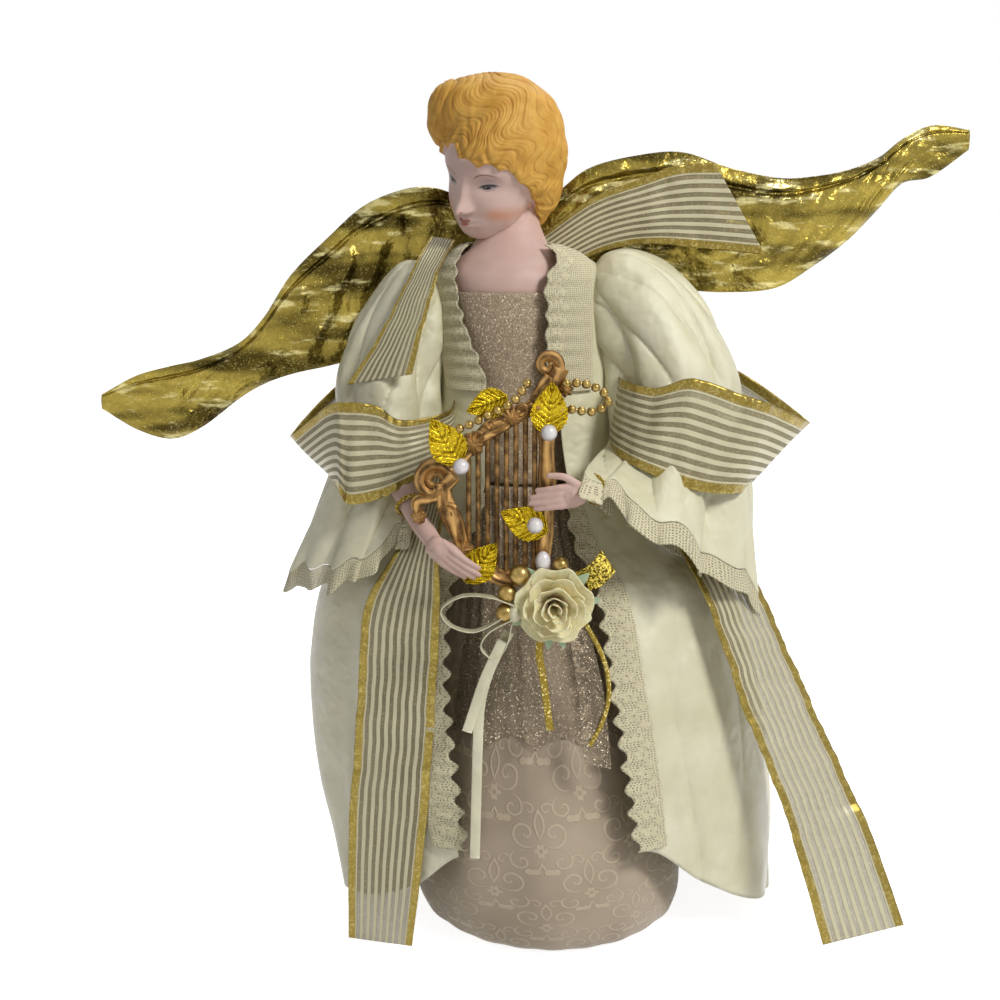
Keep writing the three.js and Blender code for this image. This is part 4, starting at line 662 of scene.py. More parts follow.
def plate_point(u, v):
    """Ovals up the plate and the neck, with shallow hollows over the collar bones."""
    level = plate_foot + (plate_top - plate_foot) * v
    wide, deep, shift, back = np.moveaxis(blend_rows(plate_rows, level), -1, 0)
    angle = 2 * math.pi * u
    off_front = np.abs(np.degrees(np.arctan2(np.sin(angle), np.cos(angle))))
    hollow = 0.7 * np.exp(-((level - 0.79) / 0.008) ** 2) * np.exp(-((off_front - 38) / 14) ** 2)
    return upright(shift, back, level * figure_height, wide - hollow, deep - hollow, angle)


wear_finish(shell("neck_and_plate", plate_point, 96, 90), plain_shaded_bisque, "head_bust")

# Forearms and hands: solid pink bisque, cast with fingers that curl round the harp. Each is wired into its
# stuffed arm inside the sleeve.
arm_rows = {
    "left": dict(tied=66, route=[(-76.5, -21.5, 229), (-68, -38, 215), (-60, -52, 202.5), (-54, -63, 196)],
                 palm=(-49.5, -69.5, 191.5), reach=(0.78, -0.1, -0.6), out=(-0.1, -1, -0.3), finger=20,
                 thumb=[(-51, -69, 195), (-44, -71, 192.5), (-38.5, -71.5, 187.5)]),
    "right": dict(tied=95, route=[(48, -20, 230), (37, -39, 220.5), (25.5, -52, 215.5), (13, -64, 215)],
                  palm=(6.5, -69.5, 214.5), reach=(-1, -0.02, -0.16), out=(0, -1, 0), finger=18.5,
                  thumb=[(8.5, -69.5, 218), (2.5, -71, 222), (-4, -70.5, 222.5)]),
}
finger_pitch, bracelet_radius = 2.55, 5.95


def round_ends(line, radii, turn=5):
    """A line and its radii with a quarter-round cap added at each end."""
    angle = np.linspace(0, math.pi / 2, turn, endpoint=False)
    head_way, tail_way = unit(line[0] - line[1]), unit(line[-1] - line[-2])
    first = line[0] + head_way * radii[0] * np.cos(angle)[:, None]
    last = line[-1] + tail_way * radii[-1] * np.cos(angle[::-1])[:, None]
    first_radii, last_radii = np.sin(angle) * radii[0] + 0.02, np.sin(angle[::-1]) * radii[-1] + 0.02
    return np.concatenate([first, line, last]), np.concatenate([first_radii, radii, last_radii])


def join(name, objects):
    """Several meshes as one object of separate closed shells."""
    whole = bmesh.new()
    for part in objects:
        whole.from_mesh(part.data)
        bpy.data.objects.remove(part)
    mesh = bpy.data.meshes.new(name)
    whole.to_mesh(mesh)
    whole.free()
    made = bpy.data.objects.new(name, mesh)
    bpy.context.scene.collection.objects.link(made)
    return made


for side, arm in arm_rows.items():
    line = rail([*arm["route"], arm["palm"]], 40)
    along = unit(np.array(arm["reach"], float))
    out = np.array(arm["out"], float)
    out = unit(out - along * (out @ along))
    wide = np.cross(out, along)
    share = np.linspace(0, 1, 41)
    girth = blend_rows([(0, 6.8), (0.25, 6.4), (0.55, 4.8), (0.8, 4.2), (1, 3.4)], share)[:, 0]
    parts = [bar("arm", *round_ends(line, girth), 32, (0, 0.3, 1))]
    palm = np.array(arm["palm"], float)
    palm_line = palm + along * np.linspace(-5.2, 5.2, 24)[:, None]
    palm_girth = 4.9 * np.sqrt(np.maximum(1 - np.linspace(-0.98, 0.98, 24) ** 4, 0.02))
    parts.append(bar("palm", palm_line, palm_girth, 28, out, 0.55))
    for slot, stretch in zip((-1.5, -0.5, 0.5, 1.5), (0.8, 0.95, 1, 0.9)):
        base = palm + wide * slot * finger_pitch
        length = arm["finger"] * stretch
        finger = rail([base + along * length * far + out * rise for far, rise in
                       ((0, 0), (0.3, 0.75), (0.62, 0.35), (0.86, -0.6), (1, -1.4))], 20)
        joints = np.linspace(0, 1, 21)
        girth = 1.6 - 0.55 * joints + 0.14 * np.exp(-((joints - 0.36) / 0.06) ** 2)
        girth = girth + 0.1 * np.exp(-((joints - 0.68) / 0.05) ** 2)
        parts.append(bar("finger", *round_ends(finger, girth), 18, out))
    thumb = rail(arm["thumb"], 18)
    parts.append(bar("thumb", *round_ends(thumb, 1.85 - 0.6 * np.linspace(0, 1, 19)), 18, (0, 1, 0.3)))
    hand = join(f"hand_{side}", parts)
    smooth = hand.modifiers.new("blend", "REMESH")
    smooth.mode, smooth.voxel_size, smooth.use_smooth_shade = "VOXEL", 0.45 * MM, True
    soften = hand.modifiers.new("soften", "SMOOTH")
    soften.factor, soften.iterations = 0.5, 4
    wear_finish(hand, plain_shaded_bisque, f"forearm_{side}")

    # Bracelet: two strands of gold braid, twisted round the wrist, which tie it to the harp
    line, tied = rail(arm["route"], 100), arm["tied"]
    wrist, way = line[tied], unit(line[tied + 4] - line[tied - 4])
    across = unit(np.cross(way, (0, 0, 1)))
    up = np.cross(across, way)
    angle = np.linspace(0, 2 * math.pi, 65)
    hoop = wrist + bracelet_radius * (np.cos(angle)[:, None] * across + np.sin(angle)[:, None] * up)
    strands = []
    for turn in (0, math.pi):
        wound = 9 * angle + turn
        twist = np.cos(wound)[:, None] * way + np.sin(wound)[:, None] * unit(hoop - wrist)
        strands.append(bar("strand", hoop + 0.45 * twist, 0.5, 8, way))
    wear_finish(join(f"braid_{side}", strands), gold_braid, f"bracelet_{side}")

# Bodice: a straight wrap of taupe knitted cloth with metal thread in it, stretched round the body from
# the waist up and glued to the porcelain at the chest.
lurex, paint, place = new_finish("lurex", roughness=0.62, sheen_weight=0.2)
knit, fleck = noise(place, 1100, 2, 0.7), glitter(place, 2600, 0.9, 0.99)
paint(base_color=mix(fleck, mix(spread(knit, 0.35, 0.65), "8C7A62", "B29E82"), "F0E2C8"),
      metallic=spread(fleck, 0, 1, 0.1, 0.85), relief=(knit + fleck, 0.7, 0.5))
surface_area = {}


def closed_sheet(name, front, back, size, ring=False, flip=1):
    """A closed piece between two grids of points, with its place on the cloth in millimetres as its map.
    flip is -1 where the front grid is seen from its other side."""
    lines, rows = front.shape[0], front.shape[1] - 1
    columns = lines if ring else lines - 1
    count = lines * (rows + 1)
    faces, shares = grid_faces(columns, rows, ring)
    parts, places = [faces, (faces + count)[:, ::-1]], [shares, shares[:, ::-1]]
    i, j = np.arange(columns), np.arange(rows)
    for row, turn in ((0, 1), (rows, -1)):
        near, far = i * (rows + 1) + row, (i + 1) % lines * (rows + 1) + row
        parts.append(np.stack([far, near, near + count, far + count], -1)[:, ::turn])
        marks = np.stack([i + 1, i, i, i + 1], -1)[:, ::turn] / columns
        places.append(np.stack([marks, np.full(marks.shape, row / rows)], -1))
    for line, turn in (() if ring else ((0, 1), (lines - 1, -1))):
        near = line * (rows + 1) + j
        parts.append(np.stack([near, near + 1, near + 1 + count, near + count], -1)[:, ::turn])
        marks = np.stack([j, j + 1, j + 1, j], -1)[:, ::turn] / rows
        places.append(np.stack([np.full(marks.shape, line / columns), marks], -1))
    return put_mesh(name, np.stack([front, back]), [part[:, ::flip] for part in parts],
                    [part[:, ::flip] * size for part in places])


def cloth(name, point, columns, rows, half, ring=False, size=None):
    """A sheet of cloth on both sides of the surface point(u, v), half away from it along the normal. It is
    cut from cloth of the size given, in millimetres, or else of its mean lengths."""
    middle = point(*grid(columns, rows, ring=ring))
    step_u = (np.roll(middle, -1, 0) - np.roll(middle, 1, 0)) / 2 if ring else np.gradient(middle, axis=0)
    step_v = np.gradient(middle, axis=1)
    normal = np.cross(step_u, step_v)
    surface_area[name] = float(np.linalg.norm(normal, axis=-1)[:columns, :rows].sum()) * MM * MM
    if size is None:
        size = (np.linalg.norm(step_u, axis=-1).mean() * columns,
                np.linalg.norm(step_v, axis=-1).mean() * rows)
    size = np.array(size, float)
    away = unit(normal) * half
    made = closed_sheet(name, middle + away, middle - away, size, ring)
    made["cut_size"] = [float(part) * MM for part in size]
    return made


def hang(made, material, replaced):
    """Puts the cloth's material on a sheet and sets the sheet in place of a CAD node."""
    wear_finish(made, material, replaced)


waist_height, neckline_height = 208, 293
bodice_half_width, bodice_half_depth = 27, 18.8
bodice_rows = [(0, 0.9, 0.98), (0.3, 0.93, 0.985), (0.6, 0.99, 1.01), (0.85, 1.04, 1.06), (1, 1.055, 1.08)]


def bodice_point(u, v):
    """Leaning ovals from the waist to the neckline, with shallow drag lines across the chest."""
    height = waist_height + (neckline_height - waist_height) * v
    wide, deep = np.moveaxis(blend_rows(bodice_rows, v), -1, 0)
    drag = 0.25 * np.sin(26 * v + 3 * np.sin(2 * math.pi * u)) * (1 - v)
    return upright(0, 0, height, wide * bodice_half_width + drag, deep * bodice_half_depth + drag,
                   2 * math.pi * u)


hang(cloth("bodice_cloth", bodice_point, 160, 60, 0.4, ring=True), lurex,
     "bodice")

# Brocade skirt: a rounded bell of figured taupe cloth, gathered at the waist and turned under at the
# cone's foot, where it is glued inside the rim. The scrolls are woven a little lighter than the ground.
skirt_half = 63
skirt_rows = [
    (0, 0.0095, 0.808, 0.808), (0.05, 0.016, 0.88, 0.88), (0.11, 0.038, 0.955, 0.955), (0.2, 0.09, 1, 1),
    (0.34, 0.185, 0.99, 0.99), (0.5, 0.34, 0.9, 0.9), (0.65, 0.51, 0.76, 0.76), (0.8, 0.7, 0.6, 0.59),
    (0.92, 0.89, 0.475, 0.43), (1, 1, 0.44, 0.365),
]


def skirt_point(angle, share, outward):
    """The bell: ovals up the leaning axis with eleven soft folds, and small gathers at the waist and foot."""
    level, wide, deep = np.moveaxis(blend_rows(skirt_rows, share), -1, 0)
    height = level * waist_height
    fold = 0.8 * np.cos(11 * angle) * np.sin(math.pi * share)
    gather = 0.5 * np.sin(37 * angle + 2 * np.sin(3 * angle)) * smooth_step(share, 0.45, 0.95)
    gather = gather + 0.35 * np.sin(23 * angle + 1.5) * (1 - smooth_step(share, 0.02, 0.25))
    out = fold + gather + outward
    return upright(0, 0, height, wide * skirt_half + out, deep * skirt_half + out, angle)


def repeat(value, pitch, offset=0.0):
    """A value folded into repeats of pitch, from minus a half to a half of it."""
    return (calc("FRACT", value / pitch + (100.5 + offset)) - 0.5) * pitch


def polar(x, y, middle):
    """Distance and angle round a middle."""
    dx, dy = x - middle[0], y - middle[1]
    return calc("SQRT", dx * dx + dy * dy), calc("ARCTAN2", dy, dx)


def scroll_line(x, y, middle, reach, wind, width):
    """A woven spiral round a middle: the line where the angle has turned by wind for each millimetre out."""
    far, angle = polar(x, y, middle)
    across = abs(calc("SINE", (angle + far * wind) * 0.5)) * 2 / abs(wind)
    line = spread(across, width * 0.6, width, 1, 0, smooth=True)
    return line * spread(far, reach * 0.93, reach, 1, 0, smooth=True)


def flower(x, y, middle, reach, petals, depth):
    """A flower shape: its edge swells and shrinks with the angle, once for each petal."""
    far, angle = polar(x, y, middle)
    edge = calc("COSINE", angle * petals) * (depth * reach) + reach
    return spread(far / edge, 0.9, 1.02, 1, 0, smooth=True), far


brocade, paint, place = new_finish("brocade", roughness=0.6, sheen_weight=0.3)
across, along, _ = split(cloth_place(place))
across = across + noise(place, 25, 1) * 5
figures = []
for shift in (0.0, 0.5):
    x, y = abs(repeat(across, 44, shift)), repeat(along, 52, shift)
    for middle, reach, wind, width in (((7.2, 2.0), 7.4, 1.15, 0.75), ((9.5, -12.0), 6.0, -1.25, 0.7),
                                       ((4.2, 13.5), 4.0, 1.6, 0.55)):
        figures.append(scroll_line(x, y, middle, reach, wind, width))
    bloom, far = flower(x, y, (0, -6.5), 3.0, 5, 0.3)
    stem = spread(abs(x - calc("SINE", y * 0.24) * 2.2), 0.35, 0.7, 1, 0) * spread(abs(y), 16, 18, 1, 0)
    figures += [bloom * spread(far, 0.9, 1.2), flower(x, y, (4.6, -17.5), 2.6, 2, 0.5)[0], stem]
figured, weft = most(*figures), woven(place, 1800)
ground = mix(spread(noise(place, 30), 0.35, 0.65), "A3927C", "B3A28C")
paint(base_color=mix(figured * 0.66, ground, mix(spread(weft, 0.3, 0.7), "B9A88C", "D2C3A6")),
      roughness=spread(figured, 0, 1, 0.62, 0.45), relief=(figured * 0.8 + weft * 0.35, 0.8, 0.35))
hang(cloth("brocade_skirt", lambda u, v: skirt_point(2 * math.pi * u, v, 0), 360, 150, 0.45, ring=True,
           size=(396, 235)), brocade, "skirt")

# Peplum: a panel of sheer gauze with metal thread in it and lace twigs along its scalloped lower edge. It
# is sewn in at the waist and hangs free over the front of the skirt.
sheer_gauze, paint, place = new_finish("sheer_gauze", roughness=0.6, sheen_weight=0.2)
_, along, _ = split(cloth_place(place))
fleck, twig = glitter(place, 2400, 0.93, 0.99), spread(noise(place, 260), 0.55, 0.6)
cover = spread(noise(place, 1500, 1), 0.4, 0.6, 0.12, 0.42) + spread(along, 3, 9, 1, 0) * (twig * 0.5)
paint(base_color=mix(fleck, "A8967C", "FFF4D4"), metallic=spread(fleck, 0, 1, 0.05, 0.8),
      alpha=most(cover, fleck), relief=(twig + fleck, 0.5, 0.3))


def peplum_point(u, v):
    """The skirt's surface, 1.6 further out, from a scalloped lower edge up to the waist."""
    edge = 0.61 + 0.02 * np.abs(np.sin(4 * math.pi * u))
    angle = np.radians(-50 + 96 * u)
    out = 1.6 + 0.5 * np.sin(9 * angle + 1) * (1 - v)
    return skirt_point(angle, edge + (0.99 - edge) * v, out)


hang(cloth("peplum_panel", peplum_point, 120, 60, 0.15), sheer_gauze,
     "peplum")

# Coat: heavy cream satin in a back panel and two fronts, sewn together at the sides. It is open over the
# skirt and falls in deep folds that widen towards the hem.
coat_top, coat_half_width, coat_half_depth = 313, 102, 62
coat_rows = [
    (0.026, 0.96, 1, 0.05), (0.13, 0.98, 1, 0.048), (0.214, 1, 1, 0.026), (0.316, 1.005, 0.99, 0.004),
    (0.4, 0.985, 0.965, -0.011), (0.53, 0.885, 0.84, -0.004), (0.59, 0.67, 0.69, -0.002),
    (0.655, 0.5, 0.55, 0.03), (0.735, 0.43, 0.47, 0.04), (0.815, 0.385, 0.42, 0.05),
    (0.895, 0.375, 0.4, 0.055), (0.942, 0.37, 0.38, 0.06), (0.965, 0.35, 0.35, 0.06),
    (0.987, 0.27, 0.29, 0.045), (1, 0.19, 0.24, 0.02),
]
coat_edge_rows = [
    (0, -24, 22), (0.53, -24, 22), (0.69, -25, 20), (0.81, -36, 23), (0.91, -55, 28), (0.96, -64, 34),
    (1, -82, 70),
]
coat_hem_rows = [
    (-180, 0.03), (-100, 0.038), (-60, 0.055), (-38, 0.1), (-22, 0.16), (22, 0.166), (38, 0.105), (60, 0.05),
    (100, 0.036), (180, 0.03),
]


def coat_point(degrees, share, outward):
    """Ovals up the coat with eight deep folds that open downwards, and small ones between them."""
    wide, deep, offset = np.moveaxis(blend_rows(coat_rows, share), -1, 0)
    angle = np.radians(degrees)
    loose = 1 - smooth_step(share, 0.1, 0.62)
    fold = (3.6 * (2 * np.abs(np.sin(4 * angle + 0.3 + 0.8 * share)) ** 0.7 - 1) + 1.6) * loose
    fold = fold + 1.3 * (2 * np.abs(np.sin(7.5 * angle - 5 * share)) ** 0.6 - 1) * loose
    crease = 0.6 * np.sin(19 * angle + 7 * share + 0.4) * loose
    crease = crease + 0.35 * np.sin(31 * share + 5 * angle) * np.exp(-((share - 0.64) / 0.12) ** 2)
    out = outward + crease
    return upright(offset * coat_half_width, 3, share * coat_top, wide * coat_half_width + fold + out,
                   deep * coat_half_depth + 0.8 * fold + out, angle)


def coat_panel(left, right):
    """A panel between two sides: u runs round the coat and v up from the hem."""
    def point(u, v):
        v = 1 - (1 - v) ** 1.6
        edges = blend_rows(coat_edge_rows, v)
        pick = {"left": edges[..., 0], "right": edges[..., 1]}
        start, end = pick.get(left, left), pick.get(right, right)
        degrees = start + (end - start) * u
        hem = blend_rows(coat_hem_rows, np.where(degrees > 180, degrees - 360, degrees))[..., 0]
        return coat_point(degrees, hem + (1 - hem) * v, 0)
    return point


for name, left, right, columns in (("coat_front_left", -97.9, "left", 120),
                                   ("coat_front_right", "right", 97.9, 120), ("coat_back", 98.1, 261.9, 240)):
    hang(cloth(f"{name}_panel", coat_panel(left, right), columns, 180, 0.4), satin,
         name)

# Sleeves: wide bells of the same satin, set in at the shoulders. Their pleats open towards the cuff,
# which falls below the wrist on a slant.
sleeve_rows = {
    "left": [
        (0, -55, 2, 300, 8.5, 0, -9.8, 0, -15, 0), (0.22, -63, 0, 283, 15.5, 0, -9.5, -1, -20, -2),
        (0.46, -73, -4, 256, 21.5, 0, -4.5, -1, -24, -1), (0.72, -74, -11, 223, 21.5, -1, 2, -2, -24, 3),
        (1, -88, -28, 189, 25, -13, 11, -5, -17, -11)],
    "right": [
        (0, 17, 2, 300, -7, 0, -14, 0, -15, 0), (0.22, 34, 0, 288, -18, 0, -14, 1, -20, -2),
        (0.46, 50, -5, 262, -26, 0, -6, 1, -25, -1), (0.72, 55, -16, 227, -29, -4, 3, 2, -28, 1),
        (1, 50.5, -42, 194.5, -35.5, -20, 27.5, 6, -18, -1.5)],
}


def sleeve_point(rows, u, v):
    """Slanted ovals down the arm: a middle and two half axes at each share of the way, times the pleats."""
    values = blend_rows(rows, np.clip(v, 0, 1))
    angle = 2 * math.pi * u
    cap = 0.3 + 0.7 * np.sqrt(1 - (1 - np.clip(v / 0.1, 0, 1)) ** 2)
    reach = np.sin(math.pi * np.clip(0.04 + 0.8 * v, 0, 1))
    reach = reach * (1 - 0.75 * np.exp(-((v - 0.66) / 0.2) ** 2))
    long_fold = reach * (0.15 * (2 * np.abs(np.sin(2 * angle + 2.2 * v + 0.5)) ** 0.6 - 1.6)
                         + 0.08 * (2 * np.abs(np.sin(3.5 * angle - 4 * v)) ** 0.5 - 1.6)
                         + 0.03 * np.sin(9 * angle + 11 * v))
    flounce = 0.07 * np.sin(9 * angle + 0.8) * np.clip(v, 0, 1) ** 5
    crumple = 0.02 * np.sin(11 * angle + 9 * v) * v
    crumple = crumple + 0.018 * np.sin(24 * v + 3 * np.sin(angle)) * np.sin(math.pi * np.clip(v, 0, 1))
    size = (cap * (1 + 0.1 * v * v * np.sin(5 * angle + 1) + long_fold + flounce + crumple))[..., None]
    down = unit(np.subtract(rows[-1][1:4], rows[-2][1:4]))
    wave = (2.8 * np.sin(7 * angle + 1) + 1.3 * np.sin(12 * angle)) * np.clip(v, 0, 1) ** 4
    first, second = np.cos(angle)[..., None], np.sin(angle)[..., None]
    oval = values[..., :3] + values[..., 3:6] * first * size + values[..., 6:] * second * size
    return oval + wave[..., None] * down


for side, rows in sleeve_rows.items():
    hang(cloth(f"satin_sleeve_{side}", lambda u, v: sleeve_point(rows, u, v), 200, 160, 0.4, ring=True), satin,
         f"sleeve_{side}")

# Laces: gathered cotton lace, net with worked flowers and a scalloped edge, sewn on by a zigzag stitch
# round the neck, down the coat's front edges and round the cuffs.
lace, paint, place = new_finish("lace", roughness=0.85, sheen_weight=0.3)
across, along, _ = split(cloth_place(place))
net = node("ShaderNodeTexVoronoi", cloth_place(place), voronoi_dimensions="2D", feature="DISTANCE_TO_EDGE",
           Scale=0.9, Randomness=0.35, out="Distance")
thread, weft = spread(net, 0.2, 0.3, 1, 0), woven(place, 2300)
bloom, far = flower(repeat(along, 9.0), across - 5.5, (0, 0), 2.9, 5, 0.3)
leaf, _ = flower(repeat(along, 9.0, 0.5), across - 8.5, (0, 0), 1.9, 4, 0.35)
from_rim = abs(across - abs(calc("SINE", along * (math.pi / 4.5))) * 1.6)
worked = most(bloom * spread(far, 0.6, 0.9, 0.2, 1), leaf, spread(from_rim, 0.5, 0.9, 1, 0))
paint(base_color=mix(spread(weft, 0.3, 0.7), "D2C79C", "F2E9C8"), alpha=most(worked, thread, 0.45),
      relief=(worked * 1.2 + (thread + weft), 0.8, 0.45))


def edge_lace(side, low, high, width, ruffle):
    """A band along the coat's front edge: 0.65 of its width lies over the satin and 0.35 stands past the
    edge. It is lifted off the satin and waves in small ruffles towards its free edge."""
    turned_side = -1 if side == "left" else 1

    def point(u, v):
        share = low + (high - low) * v
        edge = blend_rows(coat_edge_rows, share)[..., 0 if side == "left" else 1]
        wave = np.sin(ruffle * math.pi * v) - (12 * v ** 4 if low > 0.5 else 0)
        degrees = edge + turned_side * (width * (u - 0.35) + wave * (1 - u))
        hem = blend_rows(coat_hem_rows, degrees)[..., 0]
        lift = 2.1 + 0.55 * (1 - u) * np.sin(1.5 * ruffle * math.pi * v + 1)
        return coat_point(degrees, np.maximum(share, hem), lift)
    return point


for side in ("left", "right"):
    hang(cloth(f"neck_lace_{side}", edge_lace(side, 0.8, 1, 34, 14), 36, 160, 0.18, size=(26, 85)),
         lace, f"collar_lace_{side}")
    hang(cloth(f"front_lace_{side}", edge_lace(side, 0.17, 0.66, 9, 30), 20, 320, 0.18, size=(11, 160)),
         lace, f"edge_lace_{side}")
    rows = sleeve_rows[side]

    def cuff_point(u, v):
        """From the sleeve's edge outwards and down, 0.3 to 10 long, waving in and out in sixteen ruffles."""
        edge, inside = sleeve_point(rows, u, 1 + 0 * v), sleeve_point(rows, u, 0.93 + 0 * v)
        middle = rows[-1][1:4]
        way, out = unit(unit(edge - inside) - np.array([0, 0, 0.8])), unit(edge - np.array(middle))
        ruffle = np.sin(32 * math.pi * u)
        reach = 0.3 + 9.7 * v + 0.7 * np.cos(16 * math.pi * u) * v
        return edge + way * reach[..., None] + out * (1.5 * ruffle * v)[..., None]

    hang(cloth(f"cuff_ruffle_{side}", lambda u, v: cuff_point(u, 1 - v), 480, 12, 0.18, ring=True,
               size=(190, 9)), lace, f"cuff_lace_{side}")

# Wings: two padded bags of gold tissue lame over wadding, quilted by a channel along the top edge,
# each sewn round a steel wire. Both wires are bound together at the doll's back.
wing_rows = {
    "left": [
        (0, -28, 321, 305), (0.06, -45, 334, 298), (0.13, -59, 337.5, 284), (0.21, -73, 335, 271),
        (0.3, -88, 328, 260), (0.4, -103, 315, 255.5), (0.5, -121, 297.5, 251.5), (0.6, -135, 277, 246.5),
        (0.68, -147, 265.5, 239.5), (0.77, -165, 258, 226), (0.85, -180, 254.5, 220), (0.92, -196, 250, 224),
        (1, -213, 241, 234)],
    "right": [
        (0, -14, 320, 292), (0.06, 3.5, 336, 290), (0.13, 17, 346, 290), (0.21, 38, 351.5, 290),
        (0.3, 59, 353, 290.5), (0.4, 81, 346, 289.5), (0.5, 104, 341.5, 291.5), (0.6, 122, 342.5, 302),
        (0.68, 137, 345.5, 313.5), (0.77, 150, 351, 327), (0.85, 161, 359.5, 339), (0.92, 174, 365, 342),
        (1, 191, 363, 354)],
}
wing_plane, tip_sweep = 30, 6
channel_at = 0.86  # share of the wing's height at which the channel for the wire is sewn
thinnest, thickest = 0.4, 5.2
lame, paint, place = new_finish("gold_lame", roughness=0.3, metallic=0.92)
crush = node("ShaderNodeTexVoronoi", place, feature="SMOOTH_F1", Scale=62, Smoothness=0.6, out="Distance")
drawn = node("ShaderNodeMapping", place, Rotation=(0, 0.5, 0), Scale=(0.45, 1, 1.9))
# Painted shade and painted highlight: the lame is painted dark olive in streaky noise creases (fold) and pale
# gold in soft patches (sheen), standing for its crumpled light and shade
fold = spread(noise(drawn, 40), 0.36, 0.62, smooth=True)
sheen = spread(noise(drawn, 95, 3, 0.6), 0.54, 0.66, smooth=True)
fleck = glitter(place, 1800, 0.8, 0.98)
crease_shade_and_sheen = mix(sheen * 0.6, mix(fold, "40350E", "9A873C"), "E2D79A")
paint(base_color=mix(fleck * 0.25, crease_shade_and_sheen, "D8CC7C"), roughness=spread(fleck, 0, 1, 0.34, 0.22),
      relief=(crush * 1.2 + noise(place, 120, 3) + fleck * 0.05, 0.75, 3.2))


def wing_point(rows, u, v):
    """The wing's middle sheet: its lower and upper edges at each share of the span, swept back at the tip."""
    x, top, bottom = np.moveaxis(blend_rows(rows, u), -1, 0)
    return np.stack([x, wing_plane + tip_sweep * u * u, bottom + (top - bottom) * v], -1)


for side, rows in wing_rows.items():
    u, v = grid(260, 90, ring=False)
    u = 0.02 + 0.98 * u
    middle = wing_point(rows, u, v)
    pillow = (1 - (2 * v - 1) ** 4) * np.minimum(1, 6 * u + 0.3) * np.minimum(1, 4 * (1 - u) + 0.25)
    half = 0.45 + 4.05 * pillow
    # The sewn channel over the wire, and puckers that run down from the stitches
    channel = np.exp(-((v - channel_at) / 0.022) ** 2)
    along = 200 * u
    pucker = 0.5 * np.sin(along * 0.55 + 2.1 * np.sin(along * 0.11)) * np.exp(-np.abs(v - channel_at) / 0.16)
    buckle = 0.75 * np.sin(along * 0.19 + 9 * v + 2 * np.sin(along * 0.07 + 3 * v)) * pillow
    buckle = buckle + 0.5 * np.sin(along * 0.43 - 14 * v + 1.7 * np.sin(11 * v)) * pillow
    thick = half * (1 - 0.62 * channel * (half > 1)) + (pucker + buckle) * np.clip(pillow, 0, 1)
    thick = np.clip(thick, thinnest, thickest)
    front, back = middle.copy(), middle.copy()
    front[..., 1] -= thick
    back[..., 1] += np.clip(half * (1 - 0.5 * channel) - 0.6 * buckle * pillow, thinnest, thickest)
    wing = closed_sheet(f"padded_wing_{side}", front, back, (205, 60), flip=-1 if side == "left" else 1)
    wear_finish(wing, lame, f"wing_{side}", f"wing_{side}_body")

# Wing wires and their tie: bare steel wire, bent from each wing's root to the doll's back. Florist's wire
# is wound round both ends there and binds them together.
wire_steel, paint, place = new_finish("wire_steel", roughness=0.35, metallic=1.0)
winding = node("ShaderNodeTexWave", place, bands_direction="Z", Scale=260, out="Fac")
paint(base_color=mix(noise(place, 700, 3), "6E6C68", "A5A39E"), relief=(winding, 0.7, 0.5))
for name in ("wing_tie", "wing_wire_left", "wing_wire_right"):
    finish_node(name, wire_steel)

